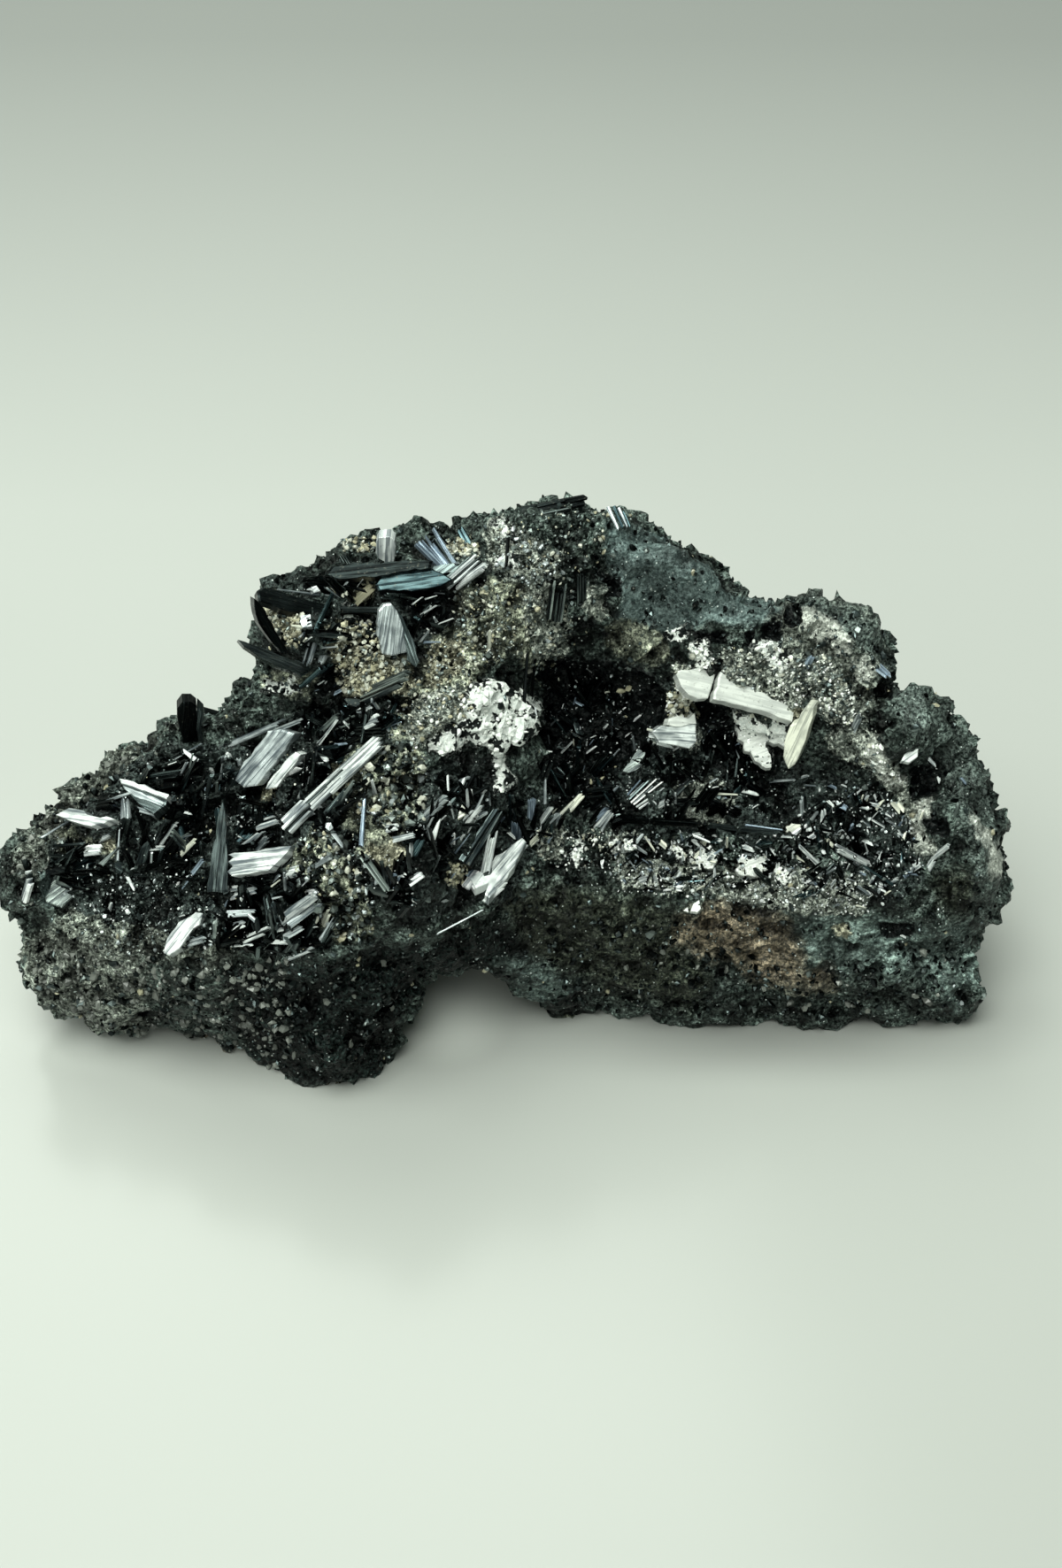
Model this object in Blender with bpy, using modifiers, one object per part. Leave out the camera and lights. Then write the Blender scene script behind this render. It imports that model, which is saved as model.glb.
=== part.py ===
"""A hand-sized manganite specimen: a lump of manganese ore whose sloping front is lined with bladed crystals.

Run it with: blender --background --python part.py
Blender units are metres. Every length below is in millimetres and is multiplied by MM where a mesh is made.
+X runs along the specimen, +Y points away from the crystal face, +Z is up. It stands on z = 0.
"""

import math
import random

import bmesh
import bpy
from mathutils import Matrix, Vector

MM = 0.001

# ---------------------------------------------------------------- the ore body

# These lines run along the body from its left end to its right end. Each is given by the points
# (x, y, z) where it bends, and together they go once round the body's section.
FOOT = ((-34, -9, 5), (-29, -11, 2), (-22, -12.5, 0.5), (-17, -13.5, -1), (-11.5, -15, -1), (-9, -12.5, -0.5),
        (-7.5, -9.5, 3), (-4, -7, 5), (1, -7, 4.5), (3.5, -8.5, -1), (12, -9.8, -1), (20, -8.8, -1), (27, -9.8, -1),
        (31.5, -9, 0), (35, -5, 5))
WALL = ((-34.5, -9.5, 8), (-28, -12.5, 7), (-20, -14.5, 7), (-12, -16, 7), (-7.5, -13, 8.5), (-3, -10, 8.5),
        (3, -9.5, 7.5), (12, -9.8, 6), (20, -9.5, 6), (27, -10, 6), (33, -9, 6), (35, -6, 7.5))
LIP = ((-35, -9.5, 11.5), (-28, -13, 11), (-23, -15, 12), (-12.5, -16.5, 14), (-7, -16, 15), (-3, -14, 15),
       (2, -11, 14), (8, -9.5, 13), (14, -8.5, 12), (26, -9.5, 12), (35, -8.5, 12))
LOW_FACE = ((-34.5, -8.5, 13), (-28, -9.5, 14), (-18, -12, 16.5), (-12, -13, 18.5), (-8, -13, 19.5), (-4, -11.5, 19.5),
            (0, -8, 16.5), (4, -6, 15), (14, -4.5, 13.5), (20, -4.5, 13.5), (31, -6, 15), (35.5, -8, 14.5))
MID_FACE = ((-34.5, -7.5, 14.5), (-28, -6, 16.5), (-18, -7.5, 20), (-12, -8, 22.5), (-7, -8.5, 24.5), (-3, -6.5, 25.5),
            (0, -4, 25.5), (4, 1, 20.5), (8, 2, 20), (12, 0, 20), (20, -1.5, 18.5), (30, -4, 18), (36, -8, 16))
HIGH_FACE = ((-34.5, -7, 15.5), (-28, -3.5, 18), (-19, -4, 21.5), (-15, -3, 23.5), (-12, -2, 28), (-7, -3, 30),
             (1, -2, 31.5), (5, 0.5, 29.5), (14, 0, 26.5), (25, -1.5, 24), (30, -3, 21), (36, -7.5, 17))
RIDGE = ((-35, -7.5, 14.5), (-31.5, -3, 17), (-27.5, -1.5, 19), (-22.5, -2, 22), (-18, -1.5, 23.5), (-15.5, 0, 25.5),
         (-14, 1.5, 29.5), (-11, 2.5, 32.5), (-5, 4, 34), (-0.4, 3.2, 34), (0.6, 3.5, 36), (6, 4, 36.8), (7, 3.4, 35.2),
         (10, 1.5, 34.5), (13.5, 0.8, 33), (17, 0.5, 30.5), (25, 0, 27.5), (28, -2, 25), (32, -4.5, 21),
         (36, -8, 16.5))
SHOULDER = ((-34.5, -5, 13), (-28, 2, 16), (-22, 3.5, 19), (-17, 5, 21), (-14, 7, 26), (-11, 8, 29.5), (-5, 9, 31.5),
            (5, 9.5, 33), (12, 7, 29.5), (17, 6, 26.5), (22, 6, 24.5), (27, 4, 21.5), (32, 0, 17), (35.5, -5, 14))
BACK = ((-34, -3, 10), (-28, 6, 11), (-20, 9, 12), (-12, 13, 15), (-5, 14.5, 17), (8, 15, 18), (14, 13, 17),
        (20, 12.5, 16), (27, 9, 14), (32, 4, 11), (35, -3, 10))
HEEL = ((-33, -2, 7), (-28, 4, 3), (-20, 8, -1), (-12, 12, -1), (2, 13, -1), (14, 11, -1), (27, 7, -1), (32, 2, 2),
        (34.5, -3, 5))
BELLY = ((-33, -6, 6), (-28, -4, 4), (-20, -3, 1.5), (-12, -3, 0.5), (-8, -2, 3), (-4, 0, 4.5), (0, 0, 3.5),
         (4, -1, 1.5), (20, 0, 1.5), (27, -2, 1), (33, -4, 2))
SECTION_LINES = (FOOT, WALL, LIP, LOW_FACE, MID_FACE, HIGH_FACE, RIDGE, SHOULDER, BACK, HEEL, BELLY)

BODY_ENDS = (-34.5, 35)
SECTION_STEP = 1.5

# Boulder-like swellings: middle, half sizes along x, y and z, and a turn about y in degrees.
SWELLINGS = (
    ((-29.4, -9.6, 5.2), (4.2, 4, 4.8), 15),
    ((-11, -12, 5), (5, 4, 6.5), -10),
    ((-12.8, 0, 28), (3.6, 4, 4.2), 10),
    ((-10, 2.5, 31.5), (2.2, 2.5, 2.4), 0),
    ((3.4, 2.6, 33.2), (3.2, 3, 3.5), -12),
    ((22.2, 1, 27), (3.2, 3.2, 3.4), 25),
    ((-7.5, -12.5, 18), (4.8, 3.6, 4.2), -20),
    ((-33, -8, 13), (2.2, 2.5, 3), 0),
    ((31.8, -8, 3), (2.6, 2.6, 3.4), -30),
    ((32.4, -7.5, 14.5), (2, 2.5, 3.6), 0),
    ((4.5, -6, 3), (3, 3, 4), 0),
)

# Lumps of the diagonal rib between the left bed and the open vug, and of the rims, in the same terms.
FACE_LUMPS = (
    ((1, 0.2, 32), (2.6, 1.8, 2.8), 20),
    ((-1, -2, 29.5), (2.4, 1.8, 2.6), 35),
    ((-3.6, -4.2, 27), (2.6, 1.8, 2.4), 45),
    ((-6.4, -6.6, 24.6), (2.6, 1.7, 2.2), 45),
    ((-9.4, -8.6, 22.4), (2.2, 1.5, 1.9), 45),
    ((-1.2, -5.4, 23.5), (2.2, 1.8, 2.8), 0),
    ((-28.5, -5.5, 16.2), (3, 1.6, 1.5), -10),
    ((-14, -2, 29.8), (2, 1.6, 2.4), 0),
    ((-8, -3, 28.4), (2.4, 1.4, 1.8), 0),
    ((20.5, -0.8, 25), (3.4, 1.5, 1.8), 20),
    ((26.2, -2.4, 21), (2, 1.5, 2.4), 35),
    ((31.5, -6, 16), (1.8, 1.4, 2), 0),
    ((11.8, -3.2, 15.8), (2.2, 1.5, 1.6), 10),
    ((5.5, -0.2, 29.5), (1.6, 1.2, 2.6), 10),
)

# Hollows of the face, in the same terms: the left bed, the vug, and the dark pits round it.
FACE_HOLLOWS = (
    ((-20, -9.5, 19.8), (6, 2.6, 2.2), 15),
    ((-13.2, -8.5, 23), (3.4, 2, 2.2), 40),
    ((4.6, -0.8, 22.5), (3.4, 3, 5), 15),
    ((8.6, -2.4, 18.6), (4.4, 3, 3), -10),
    ((14, -0.4, 21.2), (1.4, 3, 1.6), 0),
    ((28.8, -3.8, 18.7), (1.5, 2.4, 1.4), 0),
    ((7.2, 0.6, 32), (1.2, 1.6, 1.1), 0),
    ((6.8, -0.2, 27.6), (1.3, 1.8, 1.4), 0),
    ((-9.6, -1.4, 31.8), (1.6, 1.4, 1.1), 0),
    ((7.4, 2.6, 36.6), (0.6, 4, 1.6), 0),
)

SKIN_VOXEL = 0.8
RELIEF = ((4.5, 1.6), (1.9, 0.9))      # grain size and depth of each scale of roughness
BODY_SHARE_KEPT = 0.076                 # of the skin's triangles, after the relief is cut
FLOOR_CUTTER = (90, 60, 20)

# ---------------------------------------------------------------- the crystals

GAP = 0.3                               # between pieces that touch
FLAT_WITHIN = math.radians(0.8)         # faces this nearly level are one face
CRUST_THICKNESS = 0.6
ROOT_DEPTH = 1.2
CHISEL = 0.55                           # length of a blade's sloping end, in blade widths
SLOPE = math.radians(40)                # the crystal face is read square-on along this slope
FACE_OUT = Vector((0, -math.cos(SLOPE), math.sin(SLOPE)))
FACE_UP = Vector((0, math.sin(SLOPE), math.cos(SLOPE)))

# Crusts of small blades. The outline's points are (along x, up the slope). Lengths and widths are ranges.
CRUSTS = {
    "left_bed_crystals": {
        "outline": ((-33.5, 9), (-31.5, 5), (-27, 0.8), (-20, -0.8), (-13, -0.4), (-6.5, 1.6), (-6, 6), (-8, 9.5),
                    (-7, 13.5), (-12, 16.6), (-18, 17.4), (-22.5, 16.2), (-27, 13.8), (-32, 11.2)),
        "blades": 12, "length": (3, 6), "width": (0.8, 1.9), "seed": 11},
    "upper_cluster_crystals": {
        "outline": ((-16.4, 20.8), (-12.5, 18.8), (-8, 17.8), (-3, 20), (-1.4, 23.5), (-2, 27.5), (-6, 30), (-11, 29.4),
                    (-14.6, 26.8), (-17.6, 24.8)),
        "blades": 9, "length": (2.6, 4.6), "width": (0.8, 1.6), "seed": 23},
    "vug_crystals": {
        "outline": ((-4.2, 6.5), (-1.5, 3.2), (5, 4.6), (8.2, 7), (13, 10.4), (14, 14.5), (12.4, 19.2), (7.5, 20.8),
                    (3.4, 20.6), (2.8, 17), (2.4, 12), (1.2, 9.8), (-4, 9.8)),
        "blades": 12, "length": (3, 5.4), "width": (0.8, 1.5), "seed": 37},
    "right_field_crystals": {
        "outline": ((8.5, 4), (15, 2.4), (22, 2.4), (29.5, 3.2), (32.5, 7), (30, 11), (24.5, 11.8), (18.5, 12), (15.4, 11.2),
                    (13.4, 8.6), (9.8, 5.8)),
        "blades": 10, "length": (2.6, 4.4), "width": (0.8, 1.4), "seed": 51},
}

# Lumpy coats of fine grains, laid out as the crusts are.
COATS = {
    "white_druse": {
        "outline": ((-6, 17.8), (-5.8, 13.6), (-3, 12.6), (-2.4, 10.6), (0.6, 10.6), (1.2, 13.5), (1.8, 17.4), (-1, 19.4)),
        "grains": 5, "size": (0.8, 1.3), "seed": 5},
    "pale_druse": {
        "outline": ((14.6, 17.5), (16, 13.4), (18.5, 12.8), (24, 12.8), (28.2, 13.4), (26.5, 17), (21.5, 19.4), (17.5, 21),
                    (13.4, 21.2)),
        "grains": 4, "size": (0.8, 1.3), "seed": 8},
}

# Crystals that stand out by themselves: foot, tip, width, thickness, and the side by side laths it is made of.
CRYSTALS = {
    "corner_prism": ((-21.4, -3, 22.1), (-21.5, -3, 25.3), 1.9, 1.4, 1),
    "spike_blade": ((-12.8, -4.9, 29.2), (-17.3, -4.5, 31.1), 1.1, 0.7, 2),
    "cluster_edge_blade": ((-10.8, -2.5, 31.8), (-16.1, -2.5, 33.8), 1.2, 0.8, 1),
    "cluster_side_blade": ((-14.1, -4.9, 30.2), (-16.2, -4.2, 33.6), 1.2, 0.7, 1),
    "upright_blade": ((-6.5, -4.7, 29.6), (-7.7, -3, 33), 2.4, 1.5, 2),
    "summit_crystal": ((-7.9, 1.9, 32.5), (-7.8, 2, 34.8), 1.4, 0.9, 2),
    "summit_fan": ((-4, 1.2, 33.3), (-5.4, 2.4, 34.6), 1.7, 0.8, 3),
    "dark_long_blade": ((-2.8, -0.5, 32.9), (-8.5, 0.1, 33.1), 1.2, 0.8, 1),
    "wing_blade": ((-30.9, -6.1, 16.9), (-26, -8.3, 18.6), 1.6, 0.6, 1),
    "striped_blade": ((-26, -5, 19.3), (-22.5, -7.7, 18.8), 1.8, 0.6, 2),
    "broad_blade": ((-17.1, -7.3, 21), (-13.4, -6.6, 24.9), 2.8, 0.9, 3),
    "upright_slab": ((-19, -12.2, 16.3), (-18.9, -8.7, 21.5), 1.8, 0.8, 1),
    "long_bright_blade": ((-14.4, -11, 20.3), (-8, -9, 26), 1.5, 0.7, 2),
    "bed_blade": ((-14.1, -12.6, 19.4), (-18.1, -11.9, 17.8), 1.4, 0.6, 2),
    "front_blade": ((-22.3, -15.7, 13.6), (-20, -14, 15.4), 1.4, 0.6, 1),
    "splinter_bundle": ((-2.2, -13.5, 16.2), (1.2, -8.8, 17.1), 2.3, 1.2, 4),
    "grey_lath": ((-2.2, -11.7, 18.8), (-0.3, -8.9, 20.3), 1.1, 0.6, 1),
    "buried_blade": ((11.8, -0.9, 25.5), (19.3, -1.8, 22.7), 1.7, 0.9, 2),
    "leaf_blade": ((21, -3, 24.5), (19.6, -3.3, 19.2), 1.5, 0.5, 1),
    "fibrous_block": ((10, -1, 22.7), (13.1, -2, 20.2), 2.6, 1.4, 3),
    "needle_fan": ((8.7, -3.9, 16.2), (10.9, -3.1, 18.3), 2.2, 0.6, 3),
    "peak_crystal": ((3.4, -1.5, 31.2), (3.6, -1.9, 33.6), 1.1, 0.8, 2),
    "notch_crystal": ((7.3, 1.5, 35.1), (7.8, 3.4, 36.1), 1.2, 0.8, 1),
}

# Colour, metallic and roughness of each kind of surface.
ORE = ((0.035, 0.045, 0.04), 0.25, 0.7)
DARK_CRYSTAL = ((0.05, 0.06, 0.06), 0.7, 0.32)
STEEL_CRYSTAL = ((0.2, 0.23, 0.22), 0.7, 0.3)
PALE_CRYSTAL = ((0.5, 0.54, 0.5), 0.4, 0.4)
WHITE_DRUSE = ((0.52, 0.55, 0.51), 0.0, 0.8)
FINISHES = {
    "matrix": ORE, "white_druse": WHITE_DRUSE, "pale_druse": WHITE_DRUSE,
    "left_bed_crystals": DARK_CRYSTAL, "upper_cluster_crystals": DARK_CRYSTAL, "vug_crystals": DARK_CRYSTAL,
    "right_field_crystals": DARK_CRYSTAL, "corner_prism": DARK_CRYSTAL, "spike_blade": DARK_CRYSTAL,
    "cluster_edge_blade": DARK_CRYSTAL, "cluster_side_blade": DARK_CRYSTAL, "dark_long_blade": DARK_CRYSTAL,
    "upright_slab": DARK_CRYSTAL, "wing_blade": PALE_CRYSTAL, "leaf_blade": PALE_CRYSTAL,
    "buried_blade": PALE_CRYSTAL, "front_blade": PALE_CRYSTAL, "splinter_bundle": PALE_CRYSTAL,
    "fibrous_block": PALE_CRYSTAL, "long_bright_blade": PALE_CRYSTAL, "bed_blade": PALE_CRYSTAL,
}


def clear_scene():
    for obj in list(bpy.data.objects):
        bpy.data.objects.remove(obj)


def new_collection(name):
    made = bpy.data.collections.new(name)
    bpy.context.scene.collection.children.link(made)
    return made


def object_from(bm, name, collection):
    mesh = bpy.data.meshes.new(name)
    bm.to_mesh(mesh)
    bm.free()
    obj = bpy.data.objects.new(name, mesh)
    collection.objects.link(obj)
    return obj


def cutter_from(bm, name, cutters):
    obj = object_from(bm, name, cutters)
    obj.hide_render = True
    obj.display_type = "WIRE"
    return obj


def boolean(obj, operation, other):
    """Adds an exact Boolean with one object, or with a whole collection of them."""
    step = obj.modifiers.new(operation.title(), "BOOLEAN")
    step.solver = "EXACT"
    step.operation = operation
    if isinstance(other, bpy.types.Collection):
        step.operand_type = "COLLECTION"
        step.collection = other
    else:
        step.object = other


def apply_modifiers(obj):
    bpy.context.view_layer.update()
    shaped = bpy.data.meshes.new_from_object(obj.evaluated_get(bpy.context.evaluated_depsgraph_get()))
    obj.modifiers.clear()
    obj.data = shaped
    shaped.name = obj.name


def islands(bm):
    """The connected groups of faces, largest first."""
    waiting = set(bm.faces)
    found = []
    while waiting:
        group = set()
        frontier = [waiting.pop()]
        while frontier:
            face = frontier.pop()
            group.add(face)
            for edge in face.edges:
                for other in edge.link_faces:
                    if other in waiting:
                        waiting.remove(other)
                        frontier.append(other)
        found.append(group)
    return sorted(found, key=len, reverse=True)


def keep_largest_island(obj):
    bm = bmesh.new()
    bm.from_mesh(obj.data)
    for group in islands(bm)[1:]:
        bmesh.ops.delete(bm, geom=list(group), context="FACES")
    bmesh.ops.dissolve_limit(bm, angle_limit=FLAT_WITHIN, verts=bm.verts, edges=bm.edges)
    bmesh.ops.triangulate(bm, faces=bm.faces)
    bm.to_mesh(obj.data)
    bm.free()


# ---------------------------------------------------------------- making the ore body


def line_at(line, x):
    """The point (y, z) of a body line at this x, straight between its bends."""
    if x <= line[0][0]:
        return line[0][1:]
    for (x0, y0, z0), (x1, y1, z1) in zip(line, line[1:]):
        if x <= x1:
            share = (x - x0) / (x1 - x0)
            return y0 + (y1 - y0) * share, z0 + (z1 - z0) * share
    return line[-1][1:]


def loft_body():
    """A closed skin through the section lines, as a bmesh."""
    bm = bmesh.new()
    start, end = BODY_ENDS
    count = round((end - start) / SECTION_STEP)
    rings = []
    for i in range(count + 1):
        x = start + (end - start) * i / count
        rings.append([bm.verts.new(Vector((x, *line_at(line, x))) * MM) for line in SECTION_LINES])
    for ring, following in zip(rings, rings[1:]):
        for k in range(len(ring)):
            m = (k + 1) % len(ring)
            bm.faces.new((ring[k], following[k], following[m], ring[m]))
    bm.faces.new(rings[0])
    bm.faces.new(reversed(rings[-1]))
    bmesh.ops.recalc_face_normals(bm, faces=bm.faces)
    return bm


def add_ellipsoid(bm, middle, half_sizes, turn, subdivisions=3):
    placed = (Matrix.Translation(Vector(middle) * MM) @ Matrix.Rotation(math.radians(turn), 4, "Y")
              @ Matrix.Diagonal((*half_sizes, 1)))
    bmesh.ops.create_icosphere(bm, subdivisions=subdivisions, radius=MM, matrix=placed)


def add_relief(obj, grain, depth):
    texture = bpy.data.textures.new(f"relief {grain}", "CLOUDS")
    texture.noise_scale = grain * MM
    texture.noise_depth = 2
    step = obj.modifiers.new("Relief", "DISPLACE")
    step.texture = texture
    step.texture_coords = "LOCAL"
    step.strength = 2 * depth * MM
    step.mid_level = 0.5


def make_matrix(collection, cutters):
    bm = loft_body()
    for swelling in SWELLINGS + FACE_LUMPS:
        add_ellipsoid(bm, *swelling)
    rock = object_from(bm, "matrix", collection)
    skin = rock.modifiers.new("One skin", "REMESH")
    skin.mode = "VOXEL"
    skin.voxel_size = SKIN_VOXEL * MM
    hollows = new_collection("hollows")
    for i, hollow in enumerate(FACE_HOLLOWS):
        bm = bmesh.new()
        add_ellipsoid(bm, *hollow)
        cutter = cutter_from(bm, f"hollow_{i + 1}", cutters)
        hollows.objects.link(cutter)
    boolean(rock, "DIFFERENCE", hollows)
    smoother = rock.modifiers.new("One skin again", "REMESH")
    smoother.mode = "VOXEL"
    smoother.voxel_size = SKIN_VOXEL * MM
    for grain, depth in RELIEF:
        add_relief(rock, grain, depth)
    fewer = rock.modifiers.new("Facets", "DECIMATE")
    fewer.ratio = BODY_SHARE_KEPT
    bm = bmesh.new()
    bmesh.ops.create_cube(bm, size=1, matrix=Matrix.Translation((0, 0, -FLOOR_CUTTER[2] * MM / 2))
                          @ Matrix.Diagonal((*(side * MM for side in FLOOR_CUTTER), 1)))
    boolean(rock, "DIFFERENCE", cutter_from(bm, "floor_cutter", cutters))
    apply_modifiers(rock)
    keep_largest_island(rock)
    return rock


# ---------------------------------------------------------------- making the crystals


def blade_axes(foot, tip):
    """The frame of a blade: z along it, y through its thickness, turned as nearly as can be to face out."""
    along = (tip - foot).normalized()
    through = (FACE_OUT - FACE_OUT.dot(along) * along).normalized()
    return Matrix((through.cross(along), through, along)).transposed().to_4x4()


def add_blade(bm, foot, tip, width, thickness, margin=0.0, turn=0.0):
    """A six-sided flattened prism with a chisel end. Lengths in millimetres."""
    foot, tip = Vector(foot), Vector(tip)
    length = (tip - foot).length + ROOT_DEPTH + 2 * margin
    placed = Matrix.Translation(foot) @ blade_axes(foot, tip) @ Matrix.Rotation(turn, 4, "Z")
    placed = placed @ Matrix.Translation((0, 0, length / 2 - ROOT_DEPTH - margin))
    made = bmesh.ops.create_cone(bm, cap_ends=True, segments=6, radius1=0.5, radius2=0.5, depth=length,
                                 matrix=Matrix.Rotation(math.radians(30), 4, "Z"))["verts"]
    for vert in made:
        vert.co.x *= (width + 2 * margin) / math.cos(math.radians(30))
        vert.co.y *= thickness + 2 * margin
        if vert.co.z > 0:
            vert.co.z -= CHISEL * abs(vert.co.x) + 0.3 * vert.co.x
        vert.co = (placed @ vert.co) * MM
    return made


def laths_of(foot, tip, width, thickness, count):
    """The overlapping laths, side by side, whose ends step up and down: foot, tip, width and thickness of each."""
    foot, tip = Vector(foot), Vector(tip)
    across = blade_axes(foot, tip).to_3x3() @ Vector((1, 0, 0))
    length = (tip - foot).length
    lath_width = width / count * 1.25
    for k in range(count):
        offset = (k - (count - 1) / 2) * width / count
        short = 0.16 * length * ((k * 2) % 3) / 2
        end = tip + across * offset * 1.15 - (tip - foot).normalized() * short
        yield foot + across * offset, end, lath_width, thickness * (1 - 0.12 * (k % 2))


def blade_object(name, collection, *blade, margin=0.0, turn=0.0):
    bm = bmesh.new()
    add_blade(bm, *blade, margin=margin, turn=turn)
    return object_from(bm, name, collection)


def make_crystal(name, shape, collection, cutters, neighbours):
    """One stand-out crystal, with its foot trimmed to the ore and to the crystals already made."""
    laths = list(laths_of(*shape))
    crystal = blade_object(name, collection, *laths[0])
    more = new_collection(f"{name} laths")
    for lath in laths[1:]:
        part = blade_object(f"{name}_lath", more, *lath)
        part.hide_render = True
        part.display_type = "WIRE"
    if len(laths) > 1:
        boolean(crystal, "UNION", more)
    boolean(crystal, "DIFFERENCE", neighbours)
    apply_modifiers(crystal)
    keep_largest_island(crystal)
    for lath in laths:
        bm = bmesh.new()
        add_blade(bm, *lath, margin=GAP)
        neighbours.objects.link(cutter_from(bm, f"{name}_room", cutters))
    return crystal


def inside(outline, x, y):
    """Whether a point lies in a closed outline."""
    within = False
    for (x0, y0), (x1, y1) in zip(outline, outline[1:] + outline[:1]):
        if (y0 > y) != (y1 > y) and x < x0 + (x1 - x0) * (y - y0) / (y1 - y0):
            within = not within
    return within


def on_face(point):
    """A point's place on the sloping face, in millimetres: along x, and up the slope."""
    return point.x / MM, point.dot(FACE_UP) / MM


def face_patch(rock, outline):
    """The front faces of the ore that lie inside the outline, as one sheet without pinched corners."""
    bm = bmesh.new()
    bm.from_mesh(rock.data)
    outside = []
    for face in bm.faces:
        corners_in = sum(inside(outline, *on_face(vert.co)) for vert in face.verts)
        if face.normal.dot(FACE_OUT) < 0.1 or corners_in < 3:
            outside.append(face)
    bmesh.ops.delete(bm, geom=outside, context="FACES")
    pinched = True
    while pinched:
        for group in islands(bm)[1:]:
            bmesh.ops.delete(bm, geom=list(group), context="FACES")
        pinched = [vert for vert in bm.verts if sum(edge.is_boundary for edge in vert.link_edges) > 2]
        bmesh.ops.delete(bm, geom=pinched, context="VERTS")
    return bm


def make_plate(name, rock, outline, collection):
    """A plate that follows the ore, from inside its surface to the crust's outer side."""
    plate = object_from(face_patch(rock, outline), name, collection)
    into_ore = 0.5
    thick = plate.modifiers.new("Crust", "SOLIDIFY")
    thick.thickness = (into_ore + GAP + CRUST_THICKNESS) * MM
    thick.offset = 1 - 2 * into_ore / (into_ore + GAP + CRUST_THICKNESS)
    return plate


def spots_on(rock, outline, count, rng):
    """Random places on the plate's part of the ore: point and normal."""
    bm = face_patch(rock, outline)
    faces = list(bm.faces)
    areas = [face.calc_area() for face in faces]
    spots = []
    for face in rng.choices(faces, weights=areas, k=count):
        a, b, c = (vert.co for vert in face.verts)
        s, t = sorted((rng.random(), rng.random()))
        spots.append(((a * s + b * (t - s) + c * (1 - t)) / MM, face.normal.copy()))
    bm.free()
    return spots


def clear_of(foot, tip, outline, reach):
    """Whether a blade stays over its own outline, so that it can't meet a neighbouring crust."""
    for share in (0, 0.5, 1):
        x, y = on_face(foot.lerp(tip, share) * MM)
        if not all(inside(outline, x + dx, y + dy) for dx in (-reach, reach) for dy in (-reach, reach)):
            return False
    return True


def make_crust(name, shape, rock, collection, neighbours):
    """A plate with many small blades grown into it."""
    rng = random.Random(shape["seed"])
    crust = make_plate(name, rock, shape["outline"], collection)
    blades = new_collection(f"{name} blades")
    for foot, normal in spots_on(rock, shape["outline"], 6 * shape["blades"], rng):
        if len(blades.objects) == shape["blades"]:
            break
        lean = Vector((rng.gauss(0.35, 0.8), rng.gauss(0, 0.5), rng.gauss(0.35, 0.8)))
        along = (normal * rng.uniform(0.6, 1.3) + lean).normalized()
        length, width = rng.uniform(*shape["length"]), rng.uniform(*shape["width"])
        tip = foot + along * length
        if along.dot(normal) < 0.25 or not clear_of(foot, tip, shape["outline"], width / 2):
            continue
        blade = blade_object(f"{name}_blade", blades, foot, tip, width, width * rng.uniform(0.35, 0.6),
                             turn=rng.uniform(-0.7, 0.7))
        blade.hide_render = True
        blade.display_type = "WIRE"
    boolean(crust, "UNION", blades)
    boolean(crust, "DIFFERENCE", neighbours)
    apply_modifiers(crust)
    keep_largest_island(crust)
    return crust


def make_coat(name, shape, rock, collection, neighbours):
    """A plate with rounded grains grown into it."""
    rng = random.Random(shape["seed"])
    coat = make_plate(name, rock, shape["outline"], collection)
    grains = new_collection(f"{name} grains")
    for middle, normal in spots_on(rock, shape["outline"], shape["grains"], rng):
        bm = bmesh.new()
        size = rng.uniform(*shape["size"])
        add_ellipsoid(bm, middle + normal * 0.8, (size, size, size), rng.uniform(0, 90), subdivisions=1)
        grain = object_from(bm, f"{name}_grain", grains)
        grain.hide_render = True
        grain.display_type = "WIRE"
    boolean(coat, "UNION", grains)
    boolean(coat, "DIFFERENCE", neighbours)
    apply_modifiers(coat)
    keep_largest_island(coat)
    return coat


def room_round(rock, cutters):
    """The ore swollen by the gap, which trims what sits on it."""
    room = bpy.data.objects.new("ore_room", rock.data.copy())
    cutters.objects.link(room)
    room.hide_render = True
    room.display_type = "WIRE"
    swell = room.modifiers.new("Gap", "DISPLACE")
    swell.strength = GAP * MM
    swell.mid_level = 0
    apply_modifiers(room)
    return room


def give_material(obj, colour, metallic, roughness):
    material = bpy.data.materials.new(obj.name)
    material.use_nodes = True
    shader = material.node_tree.nodes["Principled BSDF"]
    shader.inputs["Base Color"].default_value = (*colour, 1)
    shader.inputs["Metallic"].default_value = metallic
    shader.inputs["Roughness"].default_value = roughness
    obj.data.materials.clear()
    obj.data.materials.append(material)


def centre_on_origin(objects):
    """Moves the meshes so that the middle of the specimen's box stands over the origin."""
    points = [vert.co for obj in objects for vert in obj.data.vertices]
    middle = Vector((0, 0, 0))
    for axis in (0, 1):
        values = [point[axis] for point in points]
        middle[axis] = (min(values) + max(values)) / 2
    for obj in objects:
        obj.data.transform(Matrix.Translation(-middle))
    return middle


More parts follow.
